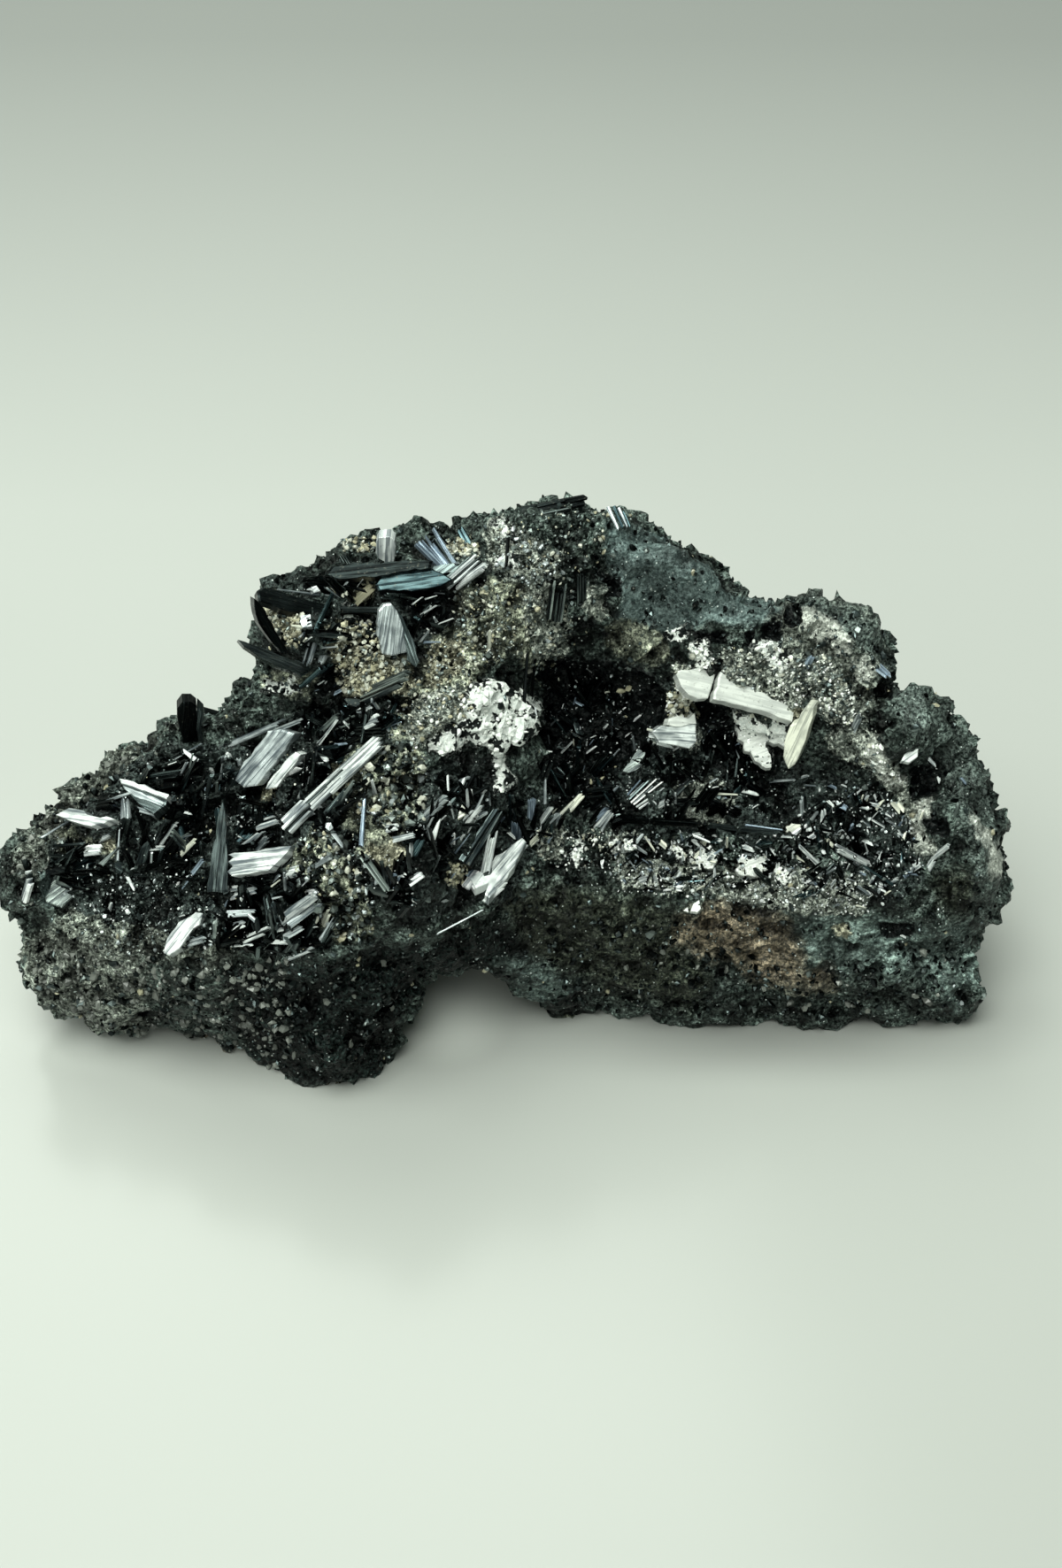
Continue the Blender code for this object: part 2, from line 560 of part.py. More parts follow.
def build():
    clear_scene()
    specimen = new_collection("manganite_specimen")
    cutters = new_collection("cutters")
    rock = make_matrix(specimen, cutters)
    neighbours = new_collection("rooms")
    neighbours.objects.link(room_round(rock, cutters))
    pieces = [rock]
    for name, shape in CRYSTALS.items():
        pieces.append(make_crystal(name, shape, specimen, cutters, neighbours))
    for name, shape in CRUSTS.items():
        pieces.append(make_crust(name, shape, rock, specimen, neighbours))
    for name, shape in COATS.items():
        pieces.append(make_coat(name, shape, rock, specimen, neighbours))
    for piece in pieces:
        give_material(piece, *FINISHES.get(piece.name, STEEL_CRYSTAL))
    middle = centre_on_origin(pieces)
    print("middle", [round(value / MM, 3) for value in middle])
    for piece in pieces:
        print(piece.name, len(piece.data.polygons))


build()
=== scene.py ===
# %% [markdown]
# # A manganite specimen
# A lump of black manganese ore whose sloping front is lined with bladed crystals, white druse and pale
# laths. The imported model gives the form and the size. This lesson gives it its surface: a finer ore skin,
# thousands of small crystals that grow from it, and the finishes of each. Everything is in metres, in the
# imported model's frame.

import math
import random

import bpy
import numpy as np
from mathutils import Matrix, Vector, noise
from mathutils.bvhtree import BVHTree


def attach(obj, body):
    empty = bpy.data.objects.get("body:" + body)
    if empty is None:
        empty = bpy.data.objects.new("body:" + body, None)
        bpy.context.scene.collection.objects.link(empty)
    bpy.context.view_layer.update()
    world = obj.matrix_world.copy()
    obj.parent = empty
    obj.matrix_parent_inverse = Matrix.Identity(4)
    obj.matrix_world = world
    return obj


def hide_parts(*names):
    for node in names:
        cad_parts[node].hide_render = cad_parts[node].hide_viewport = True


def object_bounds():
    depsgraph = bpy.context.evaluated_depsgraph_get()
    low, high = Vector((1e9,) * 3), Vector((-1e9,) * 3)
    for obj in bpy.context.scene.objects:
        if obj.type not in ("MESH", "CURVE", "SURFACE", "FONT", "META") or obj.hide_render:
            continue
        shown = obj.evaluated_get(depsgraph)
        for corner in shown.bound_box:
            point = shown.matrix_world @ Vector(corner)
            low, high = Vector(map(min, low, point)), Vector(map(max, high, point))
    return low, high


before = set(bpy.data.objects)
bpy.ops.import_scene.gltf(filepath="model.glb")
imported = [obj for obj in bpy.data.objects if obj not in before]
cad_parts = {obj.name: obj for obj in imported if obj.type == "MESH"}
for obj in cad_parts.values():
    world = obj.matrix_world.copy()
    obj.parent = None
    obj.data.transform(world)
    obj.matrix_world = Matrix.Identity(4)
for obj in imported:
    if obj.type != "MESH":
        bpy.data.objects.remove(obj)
cad_low, cad_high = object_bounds()
MM = 0.001
print("nodes", len(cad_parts), "box in mm", [round(side / MM, 1) for side in cad_high - cad_low])

# %% [markdown]
# ## The camera comes first
# Crystals are easiest to set where the eye sees them. So the camera is made before them, and a place on
# the specimen can then be named by the pixel of the 1200 by 1772 picture where it shows. A ray from the
# eye through that pixel finds the spot on the ore that carries the crystal.

# %% The camera
PICTURE_WIDTH, PICTURE_HEIGHT = 1200, 1772
LENS, SENSOR = 50, 36
ELEVATION = math.radians(40)
AIM = Vector((1.82, 0.926, 15)) * MM
DISTANCE = 155.5 * MM
FORWARD = Vector((0, math.cos(ELEVATION), -math.sin(ELEVATION)))
UPWARD = Vector((0, math.sin(ELEVATION), math.cos(ELEVATION)))
EYE = AIM - FORWARD * DISTANCE
FOCAL = LENS / SENSOR * PICTURE_HEIGHT
PIXELS_PER_MM = FOCAL / (DISTANCE / MM)

camera = bpy.data.objects.new("camera", bpy.data.cameras.new("camera"))
bpy.context.scene.collection.objects.link(camera)
camera.data.lens = LENS
camera.data.sensor_width = SENSOR
camera.data.clip_start = MM
camera.location = EYE
camera.rotation_mode = "QUATERNION"
camera.rotation_quaternion = FORWARD.to_track_quat("-Z", "Y")
bpy.context.scene.camera = camera
print("one millimetre is", round(PIXELS_PER_MM, 2), "pixels")

# %% [markdown]
# Two helpers go between pixels and space. `sight` gives the direction through a pixel, scaled so that it
# goes one unit forward, and `pixels_of` tells where points in space show in the picture.

# %% Pixels and rays
def sight(x, y):
    across = Vector((1, 0, 0)) * ((x - PICTURE_WIDTH / 2) / FOCAL)
    return FORWARD + across - UPWARD * ((y - PICTURE_HEIGHT / 2) / FOCAL)


def pixels_of(points):
    away = points - np.array(EYE)
    depth = away @ np.array(FORWARD)
    across = away[:, 0] / depth * FOCAL + PICTURE_WIDTH / 2
    down = PICTURE_HEIGHT / 2 - away @ np.array(UPWARD) / depth * FOCAL
    return across, down


middle_sight = sight(PICTURE_WIDTH / 2, PICTURE_HEIGHT / 2)
print("the picture's middle looks along", [round(part, 3) for part in middle_sight])

# %% [markdown]
# ## The zones of the specimen
# The ore changes from place to place: black between the crystals, chalky white druse, ochre grains, rust,
# grey-green and a smooth slate-coloured slope. Each zone is drawn as outlines in picture pixels. A vertex
# then keeps how deep it lies inside each zone, in millimetres, and the material breaks that edge up with
# noise, so that no outline shows.

# %% Zones of the ore, as outlines in picture pixels
ZONES = {
    "white": (
        ((520, 790), (530, 776), (548, 770), (570, 774), (582, 781), (598, 786), (603, 800), (596, 812),
         (600, 824), (588, 838), (576, 843), (571, 852), (573, 870), (573, 892), (555, 894), (560, 868),
         (556, 848), (545, 842), (530, 836), (520, 846), (500, 852), (486, 846), (483, 836), (500, 828),
         (512, 818), (520, 806)),
        ((779, 960), (788, 966), (803, 955), (800, 963), (810, 962), (811, 972), (806, 982), (783, 983),
         (779, 972)),
        ((838, 967), (848, 970), (868, 965), (866, 972), (857, 976), (868, 983), (852, 991), (840, 990),
         (831, 982)),
        ((875, 982), (884, 979), (894, 988), (895, 994), (888, 1000), (881, 996)),
        ((705, 949), (717, 947), (719, 958), (711, 962), (705, 958)),
        ((689, 951), (699, 950), (700, 961), (691, 963)),
        ((757, 957), (766, 956), (775, 966), (772, 974), (764, 968)),
        ((829, 803), (845, 807), (868, 812), (892, 812), (896, 822), (889, 845), (880, 840), (866, 838),
         (865, 846), (872, 862), (866, 868), (858, 862), (848, 850), (840, 845), (834, 830)),
        ((850, 725), (870, 722), (890, 735), (895, 755), (880, 760), (862, 745)),
        ((778, 727), (800, 722), (802, 740), (790, 746), (778, 740)),
        ((790, 741), (808, 744), (806, 756), (786, 754)),
        ((477, 701), (488, 704), (490, 720), (480, 721)),
        ((646, 942), (662, 948), (660, 984), (648, 975)),
        ((550, 712), (557, 712), (557, 739), (550, 739)),
        ((752, 710), (774, 708), (775, 724), (754, 725)),
        ((304, 768), (336, 764), (338, 780), (306, 788)),
        ((380, 690), (394, 690), (394, 700), (380, 700)),
        ((400, 693), (418, 693), (418, 706), (402, 706)),
        ((570, 599), (580, 598), (581, 612), (571, 613)),
        ((564, 633), (588, 634), (586, 645), (566, 643)),
        ((385, 834), (398, 833), (399, 855), (388, 853)),
    ),
    "pale": (
        ((935, 828), (962, 822), (990, 832), (985, 868), (960, 862), (935, 850)),
        ((620, 655), (648, 700), (640, 740), (600, 745), (590, 700), (596, 650)),
        ((815, 730), (860, 735), (905, 745), (910, 790), (895, 812), (850, 800), (815, 760)),
        ((760, 750), (782, 752), (780, 800), (740, 822), (735, 838), (785, 848), (790, 835), (762, 770)),
        ((765, 885), (815, 882), (830, 905), (820, 930), (775, 928), (763, 905)),
        ((690, 965), (770, 975), (900, 985), (985, 1000), (975, 1030), (900, 1032), (800, 1012),
         (700, 1005)),
        ((603, 938), (638, 936), (640, 968), (606, 970)),
        ((683, 942), (719, 942), (719, 960), (685, 960)),
        ((480, 790), (520, 776), (540, 800), (500, 830), (470, 845), (455, 820)),
        ((965, 845), (978, 832), (1000, 850), (1022, 885), (1040, 920), (1062, 958), (1050, 965),
         (1030, 930), (1008, 900), (985, 870)),
        ((905, 745), (935, 740), (960, 775), (975, 815), (940, 820), (915, 790)),
        ((657, 668), (672, 664), (684, 690), (676, 700), (660, 690)),
        ((563, 600), (590, 596), (604, 612), (636, 626), (634, 650), (600, 662), (575, 655), (556, 640)),
    ),
    "olive": (
        ((510, 668), (533, 659), (566, 655), (605, 664), (625, 698), (637, 744), (621, 757), (608, 757),
         (605, 770), (589, 744), (575, 731), (566, 747), (546, 754), (539, 770), (523, 783), (503, 800),
         (490, 816), (470, 829), (444, 836), (437, 823), (457, 790), (474, 770), (477, 744), (490, 724),
         (513, 708)),
        ((333, 963), (358, 946), (379, 959), (404, 988), (417, 1022), (421, 1056), (379, 1064),
         (358, 1039), (345, 1005)),
        ((379, 862), (425, 845), (470, 840), (480, 880), (470, 925), (452, 960), (440, 992), (420, 985),
         (400, 959), (384, 925)),
        ((63, 938), (97, 938), (110, 952), (135, 950), (132, 965), (110, 966), (95, 975), (66, 966)),
        ((303, 757), (340, 752), (358, 765), (350, 783), (306, 784)),
        ((686, 700), (706, 700), (745, 712), (760, 740), (740, 752), (700, 744), (684, 730)),
    ),
    "rim": (
        ((893, 690), (915, 672), (990, 705), (1003, 738), (1050, 780), (1105, 850), (1125, 905),
         (1150, 990), (1128, 1045), (1100, 1060), (1100, 985), (1088, 930), (1075, 885), (1040, 840),
         (1005, 800), (985, 750), (950, 715), (915, 700)),
    ),
    "cream": (
        ((982, 838), (995, 838), (1003, 858), (1020, 878), (1020, 886), (1000, 881), (985, 868),
         (978, 850)),
        ((1036, 906), (1054, 903), (1061, 925), (1050, 944), (1060, 958), (1045, 965), (1034, 945),
         (1031, 922)),
        ((1096, 918), (1106, 938), (1121, 940), (1126, 956), (1134, 976), (1134, 990), (1119, 990),
         (1112, 978), (1119, 970), (1110, 952), (1098, 936)),
        ((905, 690), (938, 696), (950, 712), (930, 726), (912, 716)),
        ((962, 742), (975, 738), (984, 752), (976, 770), (966, 764)),
        ((940, 716), (962, 722), (960, 742), (944, 738)),
    ),
    "ochre": (
        ((296, 678), (319, 675), (342, 691), (339, 708), (342, 724), (322, 728), (303, 705)),
        ((362, 714), (378, 705), (405, 714), (428, 737), (444, 741), (464, 744), (470, 770), (457, 783),
         (424, 787), (385, 790), (382, 770), (375, 744)),
        ((400, 662), (423, 661), (420, 680), (401, 680)),
        ((501, 614), (530, 608), (543, 618), (540, 633), (505, 633)),
        ((485, 728), (520, 722), (528, 750), (500, 780), (480, 775)),
        ((291, 889), (320, 890), (318, 908), (292, 906)),
        ((375, 860), (387, 860), (386, 870), (376, 870)),
        ((414, 956), (464, 954), (462, 986), (416, 984)),
        ((505, 976), (528, 978), (526, 1001), (506, 1000)),
        ((893, 800), (905, 800), (905, 815), (893, 815)),
        ((763, 770), (778, 765), (788, 790), (775, 803), (765, 795)),
        ((120, 948), (133, 950), (132, 965), (121, 963)),
        ((940, 1045), (958, 1042), (962, 1056), (945, 1058)),
    ),
    "rust": (
        ((770, 1035), (800, 1022), (850, 1028), (890, 1045), (905, 1075), (900, 1112), (860, 1105),
         (830, 1085), (790, 1075), (765, 1060)),
        ((905, 1095), (935, 1092), (940, 1112), (908, 1115)),
    ),
    "brown": (
        ((560, 1010), (640, 1000), (760, 1020), (770, 1060), (800, 1100), (780, 1140), (700, 1120),
         (600, 1080)),
        ((1056, 985), (1100, 980), (1112, 1020), (1080, 1034), (1058, 1020)),
    ),
    "teal": (
        ((905, 1038), (960, 1030), (1035, 1045), (1050, 1090), (1000, 1105), (930, 1092), (905, 1070)),
        ((1042, 1050), (1100, 1045), (1100, 1100), (1080, 1140), (1040, 1100)),
        ((560, 1085), (620, 1080), (640, 1120), (600, 1130)),
    ),
    # The lobe zone is partly the ore's paler grey-brown and partly painted light on the faces that turn to
    # the light from the left.
    "lobe": (
        ((25, 1060), (60, 1045), (120, 1062), (165, 1085), (165, 1165), (95, 1172), (25, 1100)),
        ((10, 985), (60, 905), (140, 850), (205, 830), (150, 872), (100, 908), (62, 945), (40, 985)),
        ((84, 980), (126, 984), (147, 997), (168, 1018), (185, 1039), (227, 1040), (236, 1056),
         (269, 1073), (236, 1094), (181, 1081), (126, 1081), (84, 1089), (55, 1056), (80, 1018)),
        ((862, 690), (915, 672), (990, 705), (1003, 738), (990, 800), (960, 825), (930, 800), (905, 750),
         (870, 725)),
    ),
    # The foot zone is partly the ore's dark tone and partly painted shade: near black under the left foot,
    # in the arch and along the lowest edge.
    "foot": (
        ((250, 1090), (400, 1075), (470, 1060), (505, 1095), (455, 1140), (430, 1215), (340, 1225),
         (286, 1200), (262, 1150)),
        ((455, 1075), (520, 1050), (590, 1045), (640, 1075), (610, 1105), (560, 1095), (500, 1095)),
        ((610, 1112), (660, 1118), (650, 1142), (612, 1138)),
        ((735, 1095), (800, 1105), (795, 1130), (745, 1125)),
    ),
    "slate": (
        ((676, 600), (700, 604), (740, 604), (780, 617), (800, 638), (860, 680), (886, 692), (850, 704),
         (800, 702), (760, 722), (735, 735), (705, 728), (692, 700), (702, 672), (690, 640)),
        ((45, 985), (85, 985), (85, 1025), (46, 1020)),
    ),
    "black": (
        ((673, 648), (703, 650), (700, 672), (678, 675)),
        ((646, 694), (672, 695), (672, 716), (648, 716)),
        ((456, 668), (514, 666), (512, 700), (495, 714), (470, 712)),
        ((604, 748), (640, 742), (700, 748), (738, 765), (757, 790), (745, 830), (700, 870), (690, 900),
         (650, 908), (612, 898), (600, 870), (602, 800)),
        ((776, 792), (800, 795), (818, 800), (828, 812), (814, 828), (800, 830), (784, 815)),
        ((782, 712), (818, 712), (820, 724), (784, 726)),
        ((856, 704), (884, 703), (884, 721), (860, 722)),
        ((1023, 862), (1054, 864), (1056, 898), (1030, 902)),
        ((1055, 925), (1075, 927), (1076, 946), (1058, 945)),
        ((985, 765), (1010, 767), (1008, 790), (988, 788)),
        ((361, 745), (389, 748), (388, 785), (363, 782)),
        ((992, 1042), (1034, 1044), (1032, 1058), (996, 1058)),
        ((809, 742), (817, 742), (808, 796), (799, 796)),
        ((838, 712), (850, 706), (856, 724), (842, 730)),
        ((888, 690), (905, 686), (908, 704), (892, 708)),
        ((795, 828), (865, 836), (885, 875), (800, 868)),
    ),
    "bed": (
        ((50, 975), (70, 935), (100, 905), (150, 870), (205, 845), (290, 842), (345, 802), (395, 787),
         (450, 786), (470, 800), (448, 850), (440, 880), (480, 870), (520, 850), (556, 860), (590, 890),
         (640, 912), (600, 960), (570, 1012), (520, 1022), (470, 1048), (430, 1020), (392, 1050),
         (350, 1085), (300, 1078), (235, 1072), (180, 1050), (120, 1040), (70, 1020)),
        ((292, 668), (380, 640), (430, 634), (500, 640), (520, 652), (514, 700), (470, 760), (400, 790),
         (350, 782), (300, 752)),
        ((600, 745), (640, 740), (700, 746), (740, 760), (830, 812), (880, 850), (930, 870), (1000, 895),
         (1035, 930), (1045, 990), (1000, 1032), (980, 990), (880, 950), (760, 945), (690, 945),
         (650, 920), (604, 900)),
    ),
}
print("zones", {name: len(outlines) for name, outlines in ZONES.items()})

# %% [markdown]
# A yes or no would give each zone a hard edge. So the depth of a place is measured instead: its distance
# to the nearest side of the outline, positive inside and negative outside. All vertices are measured at
# once, side by side of the outline.

# %% Depth inside an outline
def depth_inside(outline, x, y):
    """How far inside a closed outline each pixel place lies, in pixels. Outside it is negative."""
    nearest = np.full(len(x), 1e9)
    within = np.zeros(len(x), bool)
    for (x0, y0), (x1, y1) in zip(outline, outline[1:] + outline[:1]):
        side_x, side_y = x1 - x0, y1 - y0
        share = np.clip(((x - x0) * side_x + (y - y0) * side_y) / (side_x ** 2 + side_y ** 2), 0, 1)
        nearest = np.minimum(nearest, np.hypot(x - x0 - share * side_x, y - y0 - share * side_y))
        if side_y:
            within ^= ((y0 > y) != (y1 > y)) & (x < x0 + side_x * (y - y0) / side_y)
    return np.where(within, nearest, -nearest)


SQUARE = ((0, 0), (10, 0), (10, 10), (0, 10))
print("depth in a square and beside it", depth_inside(SQUARE, np.array((5, 14)), np.array((5, 5))))

# %% [markdown]
# ## The ore skin
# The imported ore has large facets. A copy is remeshed with small voxels, smoothed so that the facets go,
# and remeshed again finely enough to carry grains of a third of a millimetre. Modifiers do this as by
# hand, and each is applied.

# %% A fine copy of the ore
FIRST_VOXEL, SKIN_VOXEL = 0.5 * MM, 0.32 * MM
WELD = 1e-6


def select_only(piece):
    bpy.ops.object.select_all(action="DESELECT")
    piece.select_set(True)
    bpy.context.view_layer.objects.active = piece


def apply_step(piece, kind, **settings):
    """Adds one modifier and applies it at once."""
    select_only(piece)
    step = piece.modifiers.new(kind.title(), kind)
    for key, value in settings.items():
        setattr(step, key, value)
    bpy.ops.object.modifier_apply(modifier=step.name)


def read_points(mesh):
    flat = np.zeros(len(mesh.vertices) * 3, np.float32)
    mesh.vertices.foreach_get("co", flat)
    return flat.reshape(-1, 3).astype(float)


def read_normals(mesh):
    flat = np.zeros(len(mesh.vertices) * 3, np.float32)
    mesh.vertex_normals.foreach_get("vector", flat)
    return flat.reshape(-1, 3).astype(float)


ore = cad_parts["matrix"].copy()
ore.data = ore.data.copy()
ore.name = "ore_body"
ore.parent = None
for key in [key for key in ore.keys() if key.startswith("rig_")]:
    del ore[key]
bpy.context.scene.collection.objects.link(ore)
select_only(ore)
bpy.ops.object.mode_set(mode="EDIT")
bpy.ops.mesh.select_all(action="SELECT")
bpy.ops.mesh.remove_doubles(threshold=WELD)
bpy.ops.object.mode_set(mode="OBJECT")
apply_step(ore, "REMESH", mode="VOXEL", voxel_size=FIRST_VOXEL)
apply_step(ore, "SMOOTH", factor=0.5, iterations=5)
apply_step(ore, "REMESH", mode="VOXEL", voxel_size=SKIN_VOXEL)
print("ore skin", len(ore.data.vertices), "vertices")

# %% [markdown]
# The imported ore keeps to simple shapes, so its outline runs a little off in places. Each nudge names a
# place on the outline and how far the ore moves there, in picture pixels. It fades out around the place,
# like a grab with proportional editing. Low down the ore slides along the table instead of rising from it.
# A nudge of nothing at all still holds its place against its neighbours.

# %% Nudge the outline
REACH = 26
SLIDE_BELOW, SLIDE_FADE = 5, 5
NUDGES = (
    # place across, place down, move across, move down
    (-11, 967, 13, 4), (0, 1030, 14, 0), (12, 1052, 30, -6), (22, 1094, -8, 0), (33, 1135, 3, -3),
    (39, 1161, 26, -15), (64, 1170, 8, -12), (28, 928, 7, 5), (45, 907, 5, 5), (63, 883, 3, 4),
    (82, 865, 8, 8), (104, 850, 9, 16), (126, 835, 7, 20), (150, 823, 5, 18), (175, 814, 9, 14),
    (192, 793, 4, 8), (243, 784, 5, 9), (267, 769, 9, 13), (290, 745, 14, 6), (413, 601, 0, 0),
    (439, 598, 2, 10), (463, 586, 1, 7), (489, 589, 0, -7), (513, 577, 2, 10), (538, 568, -1, 23),
    (560, 575, -2, 10), (768, 631, 8, -14), (785, 640, 5, -8), (935, 670, -1, 9), (962, 670, -2, 17),
    (981, 688, -1, 7), (1002, 728, 4, 0), (912, 682, 0, -9), (1018, 757, -11, 6), (1037, 775, -4, 6),
    (1062, 820, 10, -4), (1076, 842, 16, -8), (1085, 867, 18, -9), (1101, 889, 10, -5), (1135, 913, -8, 8),
    (1154, 938, -15, 0), (1147, 1017, -11, -2), (1118, 1086, -18, 4), (1115, 1114, -10, -2),
    (1078, 1164, 0, -8), (464, 1177, -15, -3), (476, 1153, -18, -12), (446, 1210, -8, -14),
    (530, 1086, 0, 10), (557, 1086, -2, 19), (582, 1096, -10, 12), (600, 1120, -7, 8), (618, 1134, -6, 9),
    (687, 1169, 6, -14), (713, 1167, 0, -10), (369, 1215, 3, 9), (395, 1218, 0, 6), (175, 1180, 0, -12),
    (215, 1195, 0, -10), (265, 1206, 0, -9), (312, 1216, 0, -6), (306, 673, -12, -3), (300, 703, -10, 0),
    (632, 547, 0, 15), (702, 566, -3, 13), (736, 572, -9, 12), (772, 600, -8, 8), (822, 646, -8, 6),
)


def nudged(points):
    x, y = pixels_of(points)
    total, move = np.zeros(len(points)), np.zeros((len(points), 2))
    for place_x, place_y, *arrow in NUDGES:
        weight = np.exp(-((x - place_x) ** 2 + (y - place_y) ** 2) / (2 * REACH ** 2))
        total += weight
        move += np.outer(weight, arrow)
    move *= (MM / PIXELS_PER_MM / np.maximum(total, 1))[:, None]
    high = np.clip((points[:, 2] / MM - SLIDE_BELOW) / SLIDE_FADE, 0, 1)[:, None]
    slide = np.array((0, 1 / math.sin(ELEVATION), 0))
    upward = np.array(UPWARD) * high + slide * (1 - high)
    return points + np.outer(move[:, 0], (1, 0, 0)) - move[:, 1:] * upward


moved = nudged(read_points(ore.data))
ore.data.vertices.foreach_set("co", moved.astype(np.float32).ravel())
ore.data.update()
print("nudges", len(NUDGES))

# %% [markdown]
# Each vertex learns its zones. Only vertices that face the eye take the drawn ones. On the back and the
# far sides, which the drawings can't reach, soft noise lays out patches of the same kinds and of about the
# same size.

# %% Zone depths on the skin
def store(mesh, name, values, kind="FLOAT", field="value"):
    layer = mesh.attributes.new(name, kind, "POINT")
    layer.data.foreach_set(field, np.asarray(values, np.float32).ravel())


points, normals = read_points(ore.data), read_normals(ore.data)
towards_eye = np.array(EYE) - points
towards_eye /= np.linalg.norm(towards_eye, axis=1)[:, None]
facing_eye = (normals * towards_eye).sum(axis=1)
seen, well_hidden = facing_eye > 0, facing_eye < -0.3
across, down = pixels_of(points)
ZONE_LIMIT = 1.2
NOISE_STRIDE = 17.3
HIDDEN_PATCHES = {
    # zone: noise scale per mm, level it has to pass, place in the noise
    "ochre": (0.1, 0.35, 3), "rust": (0.10, 0.42, 9), "brown": (0.09, 0.2, 5), "teal": (0.10, 0.35, 7),
    "slate": (0.08, 0.3, 2), "white": (0.2, 0.55, 4), "olive": (0.12, 0.1, 6), "rim": (0.07, 0.1, 8),
}
depths = {}
for name, outlines in ZONES.items():
    drawn = np.max([depth_inside(outline, across, down) for outline in outlines], axis=0) / PIXELS_PER_MM
    if name in HIDDEN_PATCHES:
        scale, level, shift = HIDDEN_PATCHES[name]
        places = points / MM * scale + shift * NOISE_STRIDE
        hidden = np.array([noise.noise(Vector(place)) - level for place in places]) / scale * 0.5
        hidden = np.where(well_hidden, hidden, -ZONE_LIMIT)
    else:
        hidden = np.full(len(points), -ZONE_LIMIT)
    depths[name] = np.clip(np.where(seen, drawn, hidden), -ZONE_LIMIT, ZONE_LIMIT)
shares = {name: round(float((values > 0).mean()), 3) for name, values in depths.items()}
print("share of the skin in each zone", shares)

# %% [markdown]
# Relief is cut at four sizes with Displace modifiers: lumps, crags, pits and grains. A vertex group makes
# it gentle on the slate slope, the front walls and the rim, and strong elsewhere. A second group raises
# the white druse a little, as a coat that grew on the ore, and a third sinks the black gaps. The crest,
# how far a vertex ended above or below where it was, is kept for the finish, which paints shade into the
# hollows and light onto the crests with it.

# %% Relief
CALM_SLATE, CALM_RIM, CALM_WALL = 0.75, 0.7, 0.6
COAT_HEIGHT, GAP_DEPTH = 0.22 * MM, 0.8 * MM


def weight_group(piece, name, weights):
    group = piece.vertex_groups.new(name=name)
    levels = np.clip(np.round(weights * 10), 0, 10).astype(int)
    for level in range(1, 11):
        members = np.nonzero(levels == level)[0].tolist()
        group.add(members, level / 10, "REPLACE")


def relief_texture(name, kind, size, **settings):
    texture = bpy.data.textures.new(name, kind)
    texture.noise_scale = size * MM
    for key, value in settings.items():
        setattr(texture, key, value)
    return texture


on_wall = np.clip(-1.5 * normals[:, 1] - 0.4, 0, 1) * np.clip(1.1 - 1.6 * normals[:, 2], 0, 1)
on_slate, on_rim = [np.clip(depths[zone] / 0.6 + 0.3, 0, 1) for zone in ("slate", "rim")]
calm = np.maximum(on_slate * CALM_SLATE, np.maximum(on_wall * CALM_WALL, on_rim * CALM_RIM))
weight_group(ore, "rough", 1 - calm)
weight_group(ore, "coat", np.clip(depths["white"] / 0.25, 0, 1))
weight_group(ore, "gap", np.clip(depths["black"] / 0.5, 0, 1))
RELIEF = (
    # texture, strength in mm
    (relief_texture("lumps", "CLOUDS", 3.4, noise_depth=1), 2.6),
    (relief_texture("crags", "CLOUDS", 1.7, noise_depth=1, noise_type="HARD_NOISE"), -1.7),
    (relief_texture("pits", "VORONOI", 0.9), 0.8),
    (relief_texture("grains", "CLOUDS", 0.4, noise_depth=1, noise_type="HARD_NOISE"), 0.35),
)
for texture, strength in RELIEF:
    apply_step(ore, "DISPLACE", texture=texture, texture_coords="LOCAL", strength=strength * MM,
               mid_level=0.5, vertex_group="rough")
apply_step(ore, "DISPLACE", strength=COAT_HEIGHT, mid_level=0, vertex_group="coat")
apply_step(ore, "DISPLACE", strength=-GAP_DEPTH, mid_level=0, vertex_group="gap")
crest = ((read_points(ore.data) - points) * normals).sum(axis=1) / MM
crest -= np.median(crest)
print("crest, lowest and highest twentieth, in mm", np.percentile(crest, (5, 95)).round(2).tolist())
shaped = np.clip(read_points(ore.data), np.array(cad_low), np.array(cad_high))
ore.data.vertices.foreach_set("co", shaped.astype(np.float32).ravel())
ore.data.update()
for name, values in depths.items():
    store(ore.data, name, values)
store(ore.data, "crest", crest)
ore.vertex_groups.clear()
grounds = [BVHTree.FromObject(ore, bpy.context.evaluated_depsgraph_get())]
print("relief depths in mm", [strength for _, strength in RELIEF])

# %% [markdown]
# ## Shader helpers
# `add_node` makes one shader node, sets its values and joins its inputs in a single call, which keeps the
# materials short enough to read.

# %% Node helpers
def add_node(tree, kind, inputs=None, **settings):
    made = tree.nodes.new(kind)
    for key, value in settings.items():
        setattr(made, key, value)
    for key, value in (inputs or {}).items():
        if isinstance(value, bpy.types.NodeSocket):
            tree.links.new(value, made.inputs[key])
        else:
            made.inputs[key].default_value = value
    return made


def new_group(name, inputs, outputs):
    """An empty node group, with its input and output nodes."""
    group = bpy.data.node_groups.new(name, "ShaderNodeTree")
    for label, kind in inputs.items():
        group.interface.new_socket(label, in_out="INPUT", socket_type=kind)
    for label, kind in outputs.items():
        group.interface.new_socket(label, in_out="OUTPUT", socket_type=kind)
    return group, group.nodes.new("NodeGroupInput"), group.nodes.new("NodeGroupOutput")


def math_node(tree, operation, first, second):
    made = add_node(tree, "ShaderNodeMath", {0: first, 1: second}, operation=operation)
    return made.outputs[0]


def mix_colour(tree, factor, first, second, blend="MIX"):
    return add_node(tree, "ShaderNodeMix", {0: factor, 6: first, 7: second}, data_type="RGBA",
                    blend_type=blend).outputs[2]


def map_range(tree, value, low, high, to_low=0.0, to_high=1.0):
    made = add_node(tree, "ShaderNodeMapRange", {0: value, 1: low, 2: high, 3: to_low, 4: to_high})
    return made.outputs[0]


